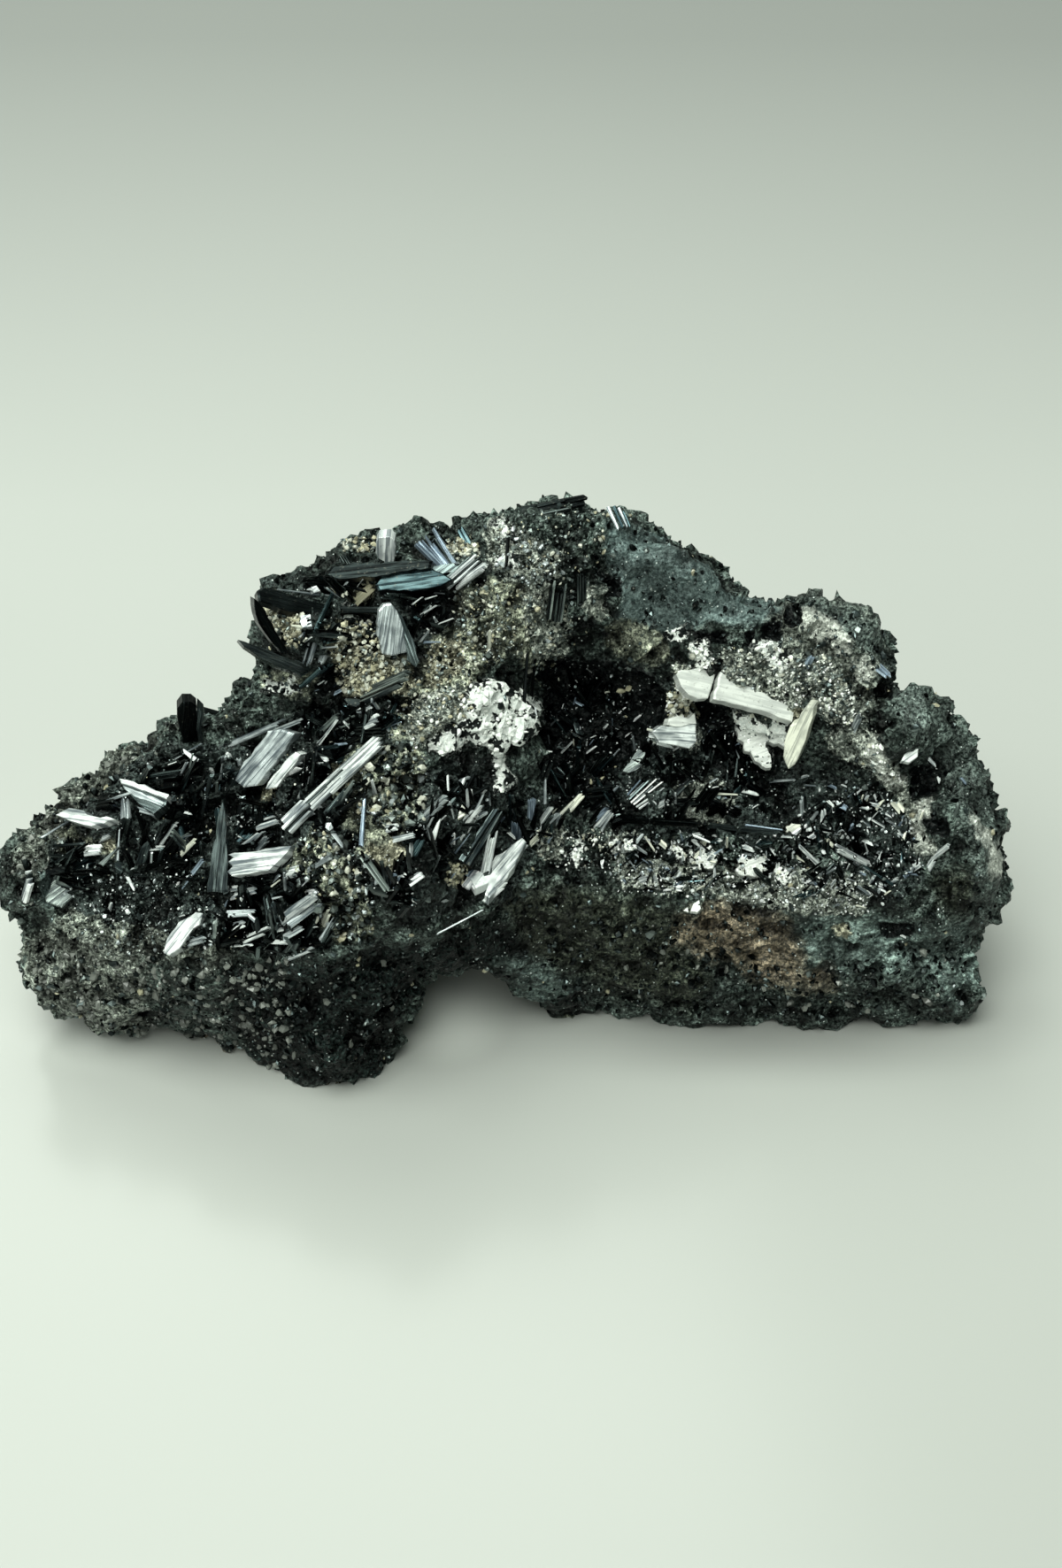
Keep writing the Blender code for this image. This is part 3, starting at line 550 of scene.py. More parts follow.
def noise_node(tree, place, scale, detail, roughness=0.5):
    return add_node(tree, "ShaderNodeTexNoise", {"Vector": place, "Scale": scale, "Detail": detail,
                                                 "Roughness": roughness}).outputs[0]


def attribute(tree, name, output="Fac"):
    return add_node(tree, "ShaderNodeAttribute", attribute_name=name).outputs[output]


def colour(r, g, b):
    return (r, g, b, 1)


print("a full colour", colour(0.5, 0.5, 0.5))

# %% [markdown]
# The first group turns a zone depth into a mask with a ragged edge. Noise is added to the depth before it
# is cut off at zero, so that the edge wanders by as much as the noise is strong.

# %% Ragged edge group
PER_METRE = 1 / MM
VECTOR, NUMBER = "NodeSocketVector", "NodeSocketFloat"

edge_group, given, result = new_group(
    "ragged edge", {"Position": VECTOR, "Depth": NUMBER, "Raggedness": NUMBER, "Grain": NUMBER,
                    "Softness": NUMBER}, {"Mask": NUMBER})
wander = noise_node(edge_group, given.outputs["Position"], given.outputs["Grain"], 3.0, 0.7)
offset = math_node(edge_group, "SUBTRACT", wander, 0.5)
shift = math_node(edge_group, "MULTIPLY", offset, given.outputs["Raggedness"])
moved = math_node(edge_group, "ADD", shift, given.outputs["Depth"])
softened = math_node(edge_group, "DIVIDE", moved, given.outputs["Softness"])
edge_group.links.new(map_range(edge_group, softened, -1.0, 1.0), result.inputs["Mask"])

print("sockets", [item.name for item in edge_group.interface.items_tree])

# %% [markdown]
# The second group gives the grain of the ore: two sizes of mottling, tiny painted glints, and a height for
# the bump. A painted glint is a light colour on a Voronoi cell whose random colour is very high, and only on
# the middle of the cell.

# %% Ore grain group
grain_group, given, result = new_group(
    "ore grain", {"Position": VECTOR}, {"Mottle": NUMBER, "Grit": NUMBER, "PaintedGlint": NUMBER, "Height": NUMBER})
mottle = noise_node(grain_group, given.outputs[0], 0.9 * PER_METRE, 4.0, 0.65)
grit = noise_node(grain_group, given.outputs[0], 4.2 * PER_METRE, 3.0, 0.75)
facets = add_node(grain_group, "ShaderNodeTexVoronoi", {"Vector": given.outputs[0], "Scale": 5.5 * PER_METRE,
                                                       "Randomness": 1.0})
chance = add_node(grain_group, "ShaderNodeSeparateColor", {0: facets.outputs["Color"]}).outputs[0]
bright = map_range(grain_group, chance, 0.955, 0.96)
near = map_range(grain_group, facets.outputs["Distance"], 0.34, 0.24)
painted_glint = math_node(grain_group, "MULTIPLY", bright, near)
lowered = math_node(grain_group, "MULTIPLY", facets.outputs["Distance"], -0.5)
height = math_node(grain_group, "ADD", grit, lowered)
for label, value in (("Mottle", mottle), ("Grit", grit), ("PaintedGlint", painted_glint), ("Height", height)):
    grain_group.links.new(value, result.inputs[label])

print("sockets", [item.name for item in grain_group.interface.items_tree])

# %% [markdown]
# The third group tips every Voronoi cell its own way, like the cleavage faces of a broken ore, so that
# neighbouring grains catch the light in turn. The random colour of a cell serves as its tilt, and the
# height rises along that tilt from the cell's middle.

# %% Facet group
facet_group, given, result = new_group("facets", {"Position": VECTOR, "Size": NUMBER}, {"Height": NUMBER})
cells = add_node(facet_group, "ShaderNodeTexVoronoi",
                 {"Vector": given.outputs["Position"], "Scale": given.outputs["Size"]})
tilt = add_node(facet_group, "ShaderNodeVectorMath", {0: cells.outputs["Color"], 1: (0.5, 0.5, 0.5)},
                operation="SUBTRACT").outputs[0]
from_middle = add_node(facet_group, "ShaderNodeVectorMath",
                       {0: given.outputs["Position"], 1: cells.outputs["Position"]},
                       operation="SUBTRACT").outputs[0]
slope = add_node(facet_group, "ShaderNodeVectorMath", {0: from_middle, 1: tilt}, operation="DOT_PRODUCT")
facet_group.links.new(slope.outputs["Value"], result.inputs[0])
print("groups", [group.name for group in bpy.data.node_groups])

# %% [markdown]
# ## The ore's finish
# Dark ore first, then one thin layer after another where its zone lies, in the order in which they cover
# each other. The front walls get slanting seams before the slate layer, and painted shade in the hollows,
# with painted light on the crests, goes on before the pale ones, so that white druse stays white. Painted
# glints come last: single grains given a light colour, as if they caught the light.

# %% Layers of the ore
ORE_DARK, ORE_LIGHT = colour(0.004, 0.007, 0.006), colour(0.13, 0.165, 0.148)
ORE_LAYERS = (
    # zone, dark colour, light colour, raggedness in mm, grain size per mm
    # lobe: paler, partly its own grey-brown and partly painted light on faces that turn to the left light
    ("lobe", colour(0.022, 0.027, 0.023), colour(0.29, 0.315, 0.275), 1.6, 1.0),
    # foot: near black, partly the ore's dark tone and partly painted shade under the left foot and in the
    # arch
    ("foot", colour(0.0001, 0.0003, 0.0003), colour(0.012, 0.02, 0.018), 1.6, 0.8),
    ("teal", colour(0.045, 0.064, 0.06), colour(0.23, 0.3, 0.275), 1.4, 0.8),
    ("brown", colour(0.006, 0.009, 0.007), colour(0.078, 0.088, 0.066), 1.4, 0.8),
    ("rust", colour(0.068, 0.062, 0.049), colour(0.35, 0.285, 0.2), 3.0, 0.9),
    ("slate", colour(0.042, 0.062, 0.061), colour(0.17, 0.225, 0.218), 1.0, 0.9),
    ("rim", colour(0.006, 0.01, 0.009), colour(0.18, 0.225, 0.205), 1.4, 0.7),
    ("bed", colour(0.002, 0.003, 0.003), colour(0.05, 0.064, 0.06), 0.8, 1.6),
    ("olive", colour(0.04, 0.047, 0.036), colour(0.5, 0.53, 0.41), 1.4, 1.8),
    ("pale", colour(0.05, 0.06, 0.052), colour(0.66, 0.7, 0.62), 1.6, 2.6),
    ("cream", colour(0.26, 0.28, 0.25), colour(0.72, 0.74, 0.68), 1.6, 0.9),
    ("ochre", colour(0.07, 0.07, 0.05), colour(0.72, 0.7, 0.53), 0.9, 3.2),
    ("black", colour(0.0005, 0.001, 0.001), colour(0.009, 0.012, 0.012), 0.5, 2.0),
    ("white", colour(0.56, 0.6, 0.57), colour(0.8, 0.81, 0.78), 1.7, 1.1),
)
# How far a zone's edge fades in mm, which zones come in clumps, and what share of the facets' tilt is left.
SHARP_EDGE = 0.06
SOFT_EDGES = {"lobe": 0.5, "foot": 0.5, "teal": 0.5, "brown": 0.6, "rust": 0.7, "slate": 0.25, "rim": 0.4,
              "olive": 0.2, "cream": 0.25}
CLUMPED = ("olive", "pale", "ochre")
TILT_LEFT = {"teal": 0.7, "rust": 0.8, "slate": 0.25, "rim": 0.5, "white": 0.15}
FACET_SIZES = (
    # facets per mm, how strongly they tip
    (1.5, 1.7), (4.5, 1.5),
)
SEAM_STRETCH, SEAM_LEAN = (0.35, 0.9, 2.0), math.radians(-6)
# The glint colour is a painted highlight on single grains of the ore.
HOLE_COLOUR, PAINTED_GLINT_COLOUR = colour(0.004, 0.006, 0.006), colour(0.5, 0.55, 0.53)
print("ore layers", [layer[0] for layer in ORE_LAYERS])

# %% [markdown]
# One function builds the material from those tables. Each layer is mixed over what lies under it by the
# mask of its zone, between its dark and its light colour by the grit. The facets tip the normal at two
# sizes, less so where a zone is smooth, and the fine grain is a small bump on top of them.

# %% Ore material
def new_material(name, roughness, metallic):
    material = bpy.data.materials.new(name)
    material.use_nodes = True
    shader = material.node_tree.nodes["Principled BSDF"]
    shader.inputs["Roughness"].default_value = roughness
    shader.inputs["Metallic"].default_value = metallic
    return material, material.node_tree, shader


def ore_material():
    material, tree, shader = new_material("ore", 0.45, 0.2)
    shader.inputs["Specular IOR Level"].default_value = 0.15
    place = add_node(tree, "ShaderNodeTexCoord").outputs["Object"]
    grain = add_node(tree, "ShaderNodeGroup", {0: place}, node_tree=grain_group)
    grit = map_range(tree, grain.outputs["Grit"], 0.42, 0.64)
    mottle = map_range(tree, grain.outputs["Mottle"], 0.35, 0.68)
    crest_here = map_range(tree, attribute(tree, "crest"), -0.45, 0.45)
    blotch = math_node(tree, "MULTIPLY", grit, math_node(tree, "ADD", mottle, 0.25))
    skin_colour = mix_colour(tree, blotch, ORE_DARK, ORE_LIGHT)
    # painted shade and light: darker in the hollows and lighter on the crests of the relief, read from the
    # crest
    painted_relief_shading = map_range(tree, crest_here, 0.0, 1.0, 0.2, 1.5)
    layered = add_node(tree, "ShaderNodeMapping", {"Vector": place, "Scale": SEAM_STRETCH,
                                                   "Rotation": (0, SEAM_LEAN, 0)}).outputs[0]
    seams = noise_node(tree, layered, 1.1 * PER_METRE, 5.0, 0.75)
    streaks = map_range(tree, seams, 0.38, 0.62, 0.35, 1.6)
    clumps = noise_node(tree, place, 1.2 * PER_METRE, 4.0, 0.7)
    clumped = math_node(tree, "MULTIPLY", grit, map_range(tree, clumps, 0.42, 0.56, 0.1, 1.35))
    swells = noise_node(tree, place, 0.45 * PER_METRE, 2.0)
    swollen = map_range(tree, swells, 0.38, 0.62, 0.6, 1.45)
    tints_and_painted_shading_before = {"slate": (streaks,), "pale": (painted_relief_shading, swollen)}
    tilt_left = None
    for zone, dark, light, ragged, size in ORE_LAYERS:
        for shade in tints_and_painted_shading_before.get(zone, ()):
            skin_colour = mix_colour(tree, 1.0, skin_colour, shade, "MULTIPLY")
        given = {"Position": place, "Depth": attribute(tree, zone), "Raggedness": ragged,
                 "Grain": size * PER_METRE, "Softness": SOFT_EDGES.get(zone, SHARP_EDGE)}
        mask = add_node(tree, "ShaderNodeGroup", given, node_tree=edge_group).outputs[0]
        layer = mix_colour(tree, clumped if zone in CLUMPED else grit, dark, light)
        skin_colour = mix_colour(tree, mask, skin_colour, layer)
        if zone in TILT_LEFT:
            left = map_range(tree, mask, 0, 1, 1, TILT_LEFT[zone])
            tilt_left = left if tilt_left is None else math_node(tree, "MULTIPLY", tilt_left, left)
    gaps = noise_node(tree, place, 1.1 * PER_METRE, 3.0, 0.55)
    holes = math_node(tree, "MULTIPLY", mask, map_range(tree, gaps, 0.53, 0.56))
    skin_colour = mix_colour(tree, holes, skin_colour, HOLE_COLOUR)
    # painted highlight: single grains given a light colour, as if they caught the light
    skin_colour = mix_colour(tree, grain.outputs["PaintedGlint"], skin_colour, PAINTED_GLINT_COLOUR)
    normal = None
    for size, tip in FACET_SIZES:
        facets = add_node(tree, "ShaderNodeGroup", {"Position": place, "Size": size * PER_METRE},
                          node_tree=facet_group)
        tipped = math_node(tree, "MULTIPLY", facets.outputs[0], tilt_left)
        bump = add_node(tree, "ShaderNodeBump", {"Strength": 1.0, "Distance": tip, "Height": tipped})
        if normal is not None:
            tree.links.new(normal, bump.inputs["Normal"])
        normal = bump.outputs[0]
    bump = add_node(tree, "ShaderNodeBump", {"Strength": 0.5, "Distance": 0.15 * MM,
                                             "Height": grain.outputs["Height"], "Normal": normal})
    metal, rough = map_range(tree, mask, 0, 1, 0.2, 0.0), map_range(tree, mottle, 0, 1, 0.5, 0.3)
    for label, value in (("Base Color", skin_colour), ("Metallic", metal), ("Roughness", rough),
                         ("Normal", bump.outputs[0])):
        tree.links.new(value, shader.inputs[label])
    return material


# %% [markdown]
# The skin takes its material and replaces the imported ore, which is hidden.

# %% Dress the ore
ore.data.materials.clear()
ore.data.materials.append(ore_material())
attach(ore, "root")
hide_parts("matrix")
print("ore nodes", len(ore.data.materials[0].node_tree.nodes))

# %% [markdown]
# ## One lath, modelled by hand
# Manganite grows as flattened, striated prisms that end in a chisel. One is modelled here at unit size: a
# six-sided cylinder, bisected twice at its top to leave a sloping roof. Every crystal of the specimen is
# then built from copies of it, each with its own length, width and thickness. A copy's roof is measured in
# widths, so it never stretches.

# %% Model the lath
def model_lath():
    """Bisect keeps what lies below each sloping plane and closes the cut, which makes the roof."""
    bpy.ops.object.select_all(action="DESELECT")
    bpy.ops.mesh.primitive_cylinder_add(vertices=6, radius=0.5, depth=1, location=(0, 0, 0.5),
                                        rotation=(0, 0, math.radians(30)))
    bpy.ops.object.transform_apply(rotation=True, location=True)
    made = bpy.context.object
    bpy.ops.object.mode_set(mode="EDIT")
    for middle, lean in ((-0.12, 0.8), (-0.12, -0.45)):
        bpy.ops.mesh.select_all(action="SELECT")
        bpy.ops.mesh.bisect(plane_co=(middle, 0, 1), plane_no=(lean, 0.12, 1), use_fill=True,
                            clear_outer=True)
    bpy.ops.mesh.select_all(action="SELECT")
    bpy.ops.mesh.normals_make_consistent(inside=False)
    bpy.ops.object.mode_set(mode="OBJECT")
    return made


def take_master(piece):
    """A modelled master as numbers: its points and faces. The object itself is then removed."""
    shape = read_points(piece.data)
    faces = [tuple(face.vertices) for face in piece.data.polygons]
    bpy.data.objects.remove(piece)
    return shape, faces


LATH_POINTS, LATH_FACES = take_master(model_lath())
print("lath", len(LATH_POINTS), "points", len(LATH_FACES), "faces")

# %% [markdown]
# Grains start as a small icosphere. Vertex noise from the randomize operator makes it angular, like a
# broken grain.

# %% Model the grain
def model_grain(seed):
    bpy.ops.object.select_all(action="DESELECT")
    bpy.ops.mesh.primitive_ico_sphere_add(subdivisions=1, radius=0.5)
    made = bpy.context.object
    bpy.ops.object.mode_set(mode="EDIT")
    bpy.ops.mesh.select_all(action="SELECT")
    bpy.ops.transform.vertex_random(offset=0.2, seed=seed)
    bpy.ops.mesh.normals_make_consistent(inside=False)
    bpy.ops.object.mode_set(mode="OBJECT")
    return made


GRAINS = [take_master(model_grain(seed)) for seed in (1, 2, 3)]
print("grain", len(GRAINS[0][1]), "faces")

# %% [markdown]
# ## Bunches
# A bunch gathers the points, faces and colours of many crystals and becomes one mesh. Each vertex keeps
# the crystal's tone, with its metallic share as the fourth value, and its place along and across the lath,
# for the striations.

# %% Bunches of crystals
# The silver and blue tones, and white on the blades, are partly painted highlights: a light base colour that
# stands for dark manganite faces mirroring the light, as well as real reflection from faces turned to
# LIGHT_WAY. A brightness above one on a crystal paints it lighter still.
TONES = {
    "black": (0.008, 0.011, 0.011, 0.95),
    "dark": (0.075, 0.092, 0.09, 1.0),
    "teal": (0.12, 0.19, 0.205, 1.0),
    "slate": (0.15, 0.19, 0.19, 0.9),
    "grey": (0.28, 0.33, 0.31, 0.6),
    "silver": (0.56, 0.615, 0.625, 0.5),
    "blue": (0.44, 0.55, 0.66, 0.5),
    "white": (0.82, 0.865, 0.85, 0.12),
    "chalk": (0.84, 0.87, 0.82, 0.0),
    "cream": (0.76, 0.77, 0.65, 0.05),
    "ochre": (0.5, 0.475, 0.33, 0.0),
    "stone": (0.2, 0.213, 0.19, 0.1),
}


def new_bunch():
    return {"points": [], "faces": [], "tone": [], "lath": [], "count": 0}


def add_to(bunch, points, faces, tone, lath):
    start = bunch["count"]
    bunch["points"].append(points)
    bunch["faces"].extend(tuple(start + i for i in face) for face in faces)
    bunch["tone"].append(np.tile(tone, (len(points), 1)))
    bunch["lath"].append(lath)
    bunch["count"] += len(points)


def shaded(tone, factor):
    r, g, b, metallic = TONES[tone]
    return (min(r * factor, 0.9), min(g * factor, 0.9), min(b * factor, 0.9), metallic)


print("tones", list(TONES))

# %% [markdown]
# A lath is set from its foot to its tip. The shaft is stretched to the length while the roof keeps its
# own, so a long lath has no long point. A blade is several laths side by side, each a little shorter,
# darker or tilted than the next, which is how the ends of real bundles break.

# %% Laths and blades
def add_lath(bunch, rng, foot, tip, width, thickness, through, tone, factor=1.0, taper=0.0):
    """One lath from foot to tip. All lengths are in metres, and `through` is the way its flat side faces."""
    along = tip - foot
    length = along.length
    along = along / length
    through = (through - along * through.dot(along)).normalized()
    side = through.cross(along)
    roof = LATH_POINTS[:, 2] > 0.3
    peak = min(width * rng.uniform(0.7, 1.6), length)
    height = np.where(roof, length - (1 - LATH_POINTS[:, 2]) * peak, 0)
    narrow = np.where(roof, 1 - taper, 0.92)
    x, y = LATH_POINTS[:, 0] * width * narrow, LATH_POINTS[:, 1] * thickness
    points = np.array(foot) + np.outer(x, side) + np.outer(y, through) + np.outer(height, along)
    lath = np.stack([x + rng.uniform(0, 0.05), height, y], axis=1)
    add_to(bunch, points, LATH_FACES, shaded(tone, factor), lath)


def add_blade(bunch, rng, foot, tip, width, through, tone, laths=1, thickness=0.4, streaks=0.2, ragged=0.14,
              spread=1.0, taper=0.35, brightness=1.0):
    """A crystal of several laths grown side by side. `ragged` shortens some, and `spread` fans them out."""
    along = (tip - foot).normalized()
    through = (through - along * through.dot(along)).normalized()
    side = through.cross(along)
    length = (tip - foot).length
    for k in range(laths):
        place = (k - (laths - 1) / 2) * width / laths
        short = length * rng.uniform(0, ragged) if laths > 1 else 0
        end = tip + side * place * spread - along * short + through * width * rng.uniform(-0.02, 0.02)
        start = foot + side * place * (2 - spread) + through * width * rng.uniform(-0.02, 0.02)
        start += along * length * rng.uniform(0, ragged / 2) if laths > 2 else Vector()
        lath_tone, factor = tone, rng.uniform(0.65, 1.12) * brightness
        if laths > 1 and rng.random() < streaks:
            lath_tone, factor = "dark", rng.uniform(0.3, 1.8)
        tilt = Matrix.Rotation(rng.uniform(-0.09, 0.09), 3, along)
        broad = width / laths * (1.7 if laths > 1 else 1.0)
        thick = width * thickness * rng.uniform(0.9, 1.05)
        add_lath(bunch, rng, start, end, broad, thick, tilt @ through, lath_tone, factor, taper)


trial = new_bunch()
add_blade(trial, random.Random(0), Vector(), Vector((0, 0, 9)) * MM, MM, Vector((0, -1, 0)), "silver", 3)
print("a blade of three laths has", trial["count"], "points")

# %% [markdown]
# A finished bunch becomes one mesh. The tone and the place along the lath are stored on its points, where
# the material reads them.

# %% Finish a bunch
def finish_bunch(bunch, name, material):
    mesh = bpy.data.meshes.new(name)
    mesh.from_pydata(np.concatenate(bunch["points"]), [], bunch["faces"])
    store(mesh, "tone", np.concatenate(bunch["tone"]), "FLOAT_COLOR", "color")
    store(mesh, "lath", np.concatenate(bunch["lath"]), "FLOAT_VECTOR", "vector")
    mesh.materials.append(material)
    piece = bpy.data.objects.new(name, mesh)
    bpy.context.scene.collection.objects.link(piece)
    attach(piece, "root")
    return piece


print("a bunch holds", list(trial))

# %% [markdown]
# ## The crystals' finish
# One material serves every crystal, because the tone is in the mesh. Manganite is striated lengthwise, so
# stripes run along each lath: fine and broad noise, stretched twenty and ten times in the lath's own
# coordinates. They darken the colour, except on grains with no metal in them, and a bump makes the same
# stripes catch the light. Small specks of dust lie over it.

# %% Crystal material
CRYSTAL_ROUGHNESS = 0.24
DEEP_TINT, DUST_COLOUR = colour(0.05, 0.07, 0.09), colour(0.06, 0.06, 0.05)
STRIPES = (
    # stripes per mm across, per mm along, detail: the fine ones, the broad ones and the patches
    (4.4, 0.2, 2.0), (1.7, 0.14, 1.0), (0.8, 0.6, 2.0),
)


def stripes(tree, across, along, detail):
    size = (across * PER_METRE, along * PER_METRE, across / 3 * PER_METRE)
    lath = attribute(tree, "lath", "Vector")
    stretched = add_node(tree, "ShaderNodeMapping", {"Vector": lath, "Scale": size}).outputs[0]
    return noise_node(tree, stretched, 1.0, detail, 0.7)


def crystal_material():
    material, tree, shader = new_material("crystal", CRYSTAL_ROUGHNESS, 0.5)
    tone, metal = attribute(tree, "tone", "Color"), attribute(tree, "tone", "Alpha")
    fine, broad, patches = [stripes(tree, *row) for row in STRIPES]
    dust = noise_node(tree, add_node(tree, "ShaderNodeTexCoord").outputs["Object"], 5 * PER_METRE, 3.0)
    shade = map_range(tree, fine, 0.4, 0.53, 0.2, 1.15)
    shade = math_node(tree, "MULTIPLY", shade, map_range(tree, broad, 0.37, 0.54, 0.45, 1.05))
    shade = math_node(tree, "MULTIPLY", shade, map_range(tree, patches, 0.36, 0.58, 0.5, 1.1))
    strength = map_range(tree, metal, 0.0, 0.12, 0.4, 1.0)
    weaker = math_node(tree, "MULTIPLY", math_node(tree, "SUBTRACT", shade, 1.0), strength)
    shade = math_node(tree, "ADD", weaker, 1.0)
    deep = mix_colour(tree, 1.0, tone, DEEP_TINT, "MULTIPLY")
    striped = mix_colour(tree, shade, deep, tone)
    dusty = mix_colour(tree, map_range(tree, dust, 0.62, 0.7, 0, 0.4), striped, DUST_COLOUR)
    rough = map_range(tree, fine, 0.3, 0.7, CRYSTAL_ROUGHNESS + 0.16, CRYSTAL_ROUGHNESS - 0.08)
    bump = add_node(tree, "ShaderNodeBump", {"Strength": 0.8, "Distance": 0.07 * MM, "Height": fine})
    for label, value in (("Base Color", dusty), ("Metallic", metal), ("Roughness", rough),
                         ("Normal", bump.outputs[0])):
        tree.links.new(value, shader.inputs[label])
    return material


CRYSTAL = crystal_material()
print("material", CRYSTAL.name)

# %% [markdown]
# ## The crystals that stand out
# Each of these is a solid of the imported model: foot, tip and width in millimetres, in its frame. Here they
# are built again with striated faces, and each replaces its own node. The way a flat side faces decides
# whether it mirrors the light above. `LIGHT_WAY` lies between the eye and the light, so a flat side that
# faces it is bright, and one that faces `EYE_WAY` mirrors the dark room.

# %% Crystals that stand out
LIGHT_WAY = Vector((0, -0.35, 0.94))
EYE_WAY = -FORWARD
MIDDLE = Vector((0.02, 0.926, 0))
STANDING = {
    # name: foot, tip, width, tone
    "corner_prism": ((-21.4, -3, 22.1), (-21.5, -3, 25.3), 1.9, "black"),
    "spike_blade": ((-12.8, -4.9, 29.2), (-17.3, -4.5, 31.1), 1.1, "dark"),
    "cluster_edge_blade": ((-10.8, -2.5, 31.8), (-16.1, -2.5, 33.8), 1.2, "black"),
    "cluster_side_blade": ((-14.1, -4.9, 30.2), (-16.2, -4.2, 33.6), 1.1, "black"),
    "upright_blade": ((-6.5, -4.7, 29.6), (-7.7, -3, 33), 2.3, "white"),
    "summit_crystal": ((-7.9, 1.9, 32.5), (-7.8, 2, 34.8), 1.4, "white"),
    "summit_fan": ((-4, 1.2, 33.3), (-5.4, 2.4, 34.6), 1.5, "blue"),
    "dark_long_blade": ((-2.8, -0.5, 32.9), (-8.5, 0.1, 33.1), 1.3, "black"),
    "wing_blade": ((-30.9, -6.1, 16.9), (-26, -8.3, 18.6), 1.6, "white"),
    "striped_blade": ((-26, -5, 19.3), (-22.5, -7.7, 18.8), 1.5, "silver"),
    "broad_blade": ((-17.1, -7.3, 21), (-13.4, -6.6, 24.9), 2.5, "silver"),
    "upright_slab": ((-19, -12.2, 16.3), (-18.9, -8.7, 21.5), 1.8, "slate"),
    "long_bright_blade": ((-14.4, -11, 20.3), (-8, -9, 26), 1.3, "white"),
    "bed_blade": ((-14.1, -12.6, 19.4), (-18.1, -11.9, 17.8), 1.3, "white"),
    "front_blade": ((-22.3, -15.7, 13.6), (-20, -14, 15.4), 1.2, "white"),
    "splinter_bundle": ((-2.2, -13.5, 16.2), (1.2, -8.8, 17.1), 2.2, "white"),
    "grey_lath": ((-2.2, -11.7, 18.8), (-0.3, -8.9, 20.3), 0.9, "slate"),
    "buried_blade": ((11.8, -0.9, 25.5), (19.3, -1.8, 22.7), 1.4, "chalk"),
    "leaf_blade": ((21, -3, 24.5), (19.6, -3.3, 19.2), 1.2, "cream"),
    "fibrous_block": ((10, -1, 22.7), (13.1, -2, 20.2), 2.5, "white"),
    "needle_fan": ((9.2, -3.6, 16.6), (10.9, -3.1, 18.3), 1.7, "silver"),
    "peak_crystal": ((3.4, -1.5, 31.2), (3.6, -1.9, 33.6), 1.1, "grey"),
    "notch_crystal": ((7.3, 1.5, 35.1), (7.8, 3.4, 36.1), 1.5, "silver"),
}
LATHS_OF = {
    # name: laths, thickness share, share of dark laths, raggedness, spread, brightness
    "summit_fan": (8, 0.35, 0.3, 0.3, 1.3, 0.9),
    "grey_lath": (2, 0.5, 0.2, 0.1, 0.8, 1),
    "peak_crystal": (6, 0.6, 0.4, 0.15, 1.0, 0.9),
}
ROOT_DEPTH = 0.8 * MM
print("crystals that stand out", len(STANDING), "of them plain laths", len(LATHS_OF))

# %% [markdown]
# ## Crystals drawn on the ore
# The many smaller crystals are drawn from foot to tip in picture pixels. `seat` finds where such a line
# lies in space: its foot is sunk in the ore, and its tip is brought towards the eye until nothing of the
# ore covers it, but never so far that the crystal would stand off the surface that carries it.

# %% Seat a drawn line on the ore
FOOT_SINK = 0.3 * MM
CLEARANCE = 0.12 * MM
BOX_MARGIN = 0.1 * MM
BACKWARD_LEAN, FORWARD_LEAN = 0.5, 1.1
BRIGHT_TONE = 0.28


def depth_at(x, y):
    """How far forward of the eye the ore or a hardened bunch lies behind a pixel, or None beside it."""
    hits = [tree.ray_cast(EYE, sight(x, y))[0] for tree in grounds]
    return min(((hit - EYE).dot(FORWARD) for hit in hits if hit is not None), default=None)


def seat(x0, y0, x1, y1, lift):
    """Foot and tip in space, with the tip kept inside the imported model's box. `lift` is in mm."""
    start = depth_at(x0, y0)
    if start is None:
        return None
    start += FOOT_SINK
    length = math.hypot(x1 - x0, y1 - y0) / PIXELS_PER_MM * MM
    end = start + BACKWARD_LEAN * length
    for share in (0.3, 0.5, 0.75, 1):
        ground = depth_at(x0 + (x1 - x0) * share, y0 + (y1 - y0) * share)
        if ground is not None:
            end = min(end, start + (ground - CLEARANCE - start) / share)
    end = max(end - lift * MM, start - FORWARD_LEAN * length)
    ray = sight(x1, y1)
    end = max(end, (cad_high.z + BOX_MARGIN - EYE.z) / ray.z, (cad_low.y - BOX_MARGIN - EYE.y) / ray.y)
    return EYE + sight(x0, y0) * start, EYE + ray * end


def harden(bunch):
    """What has grown so far carries the crystals that are drawn next."""
    grounds[1:] = [BVHTree.FromPolygons(np.concatenate(bunch["points"]).tolist(), bunch["faces"])]


def draw_blade(bunch, rng, x0, y0, x1, y1, width, laths, tone, lift=0.35, streaks=0.08, taper=0.35):
    seated = seat(x0, y0, x1, y1, lift)
    if seated is None:
        return
    bright = TONES[tone][1] > BRIGHT_TONE
    loose = 0.15 if bright else 0.5
    wobble = Vector((rng.gauss(0, loose), rng.gauss(0, loose), rng.gauss(0, loose)))
    way = (LIGHT_WAY if bright else EYE_WAY * 0.7 + LIGHT_WAY * 0.5) + wobble
    more = laths + (laths > 2)
    add_blade(bunch, rng, *seated, width / PIXELS_PER_MM * MM * 1.15, way, tone, more, 0.4, streaks,
              0.25 if laths > 2 else 0.14, taper=taper)


print("a foot is sunk", FOOT_SINK / MM, "mm and a tip stays clear by", CLEARANCE / MM, "mm")

# %% [markdown]
# Flat facets and chips are drawn as outlines. Their corners are laid on a plane through the ore at the
# outline's middle, which faces the light, and the plate is given a thickness that reaches into the ore. A
# narrow bevel keeps its rim from looking cut out.

# %% Draw a plate
BEVEL_SHARE, BEVEL_HEIGHT = 0.06, 0.05


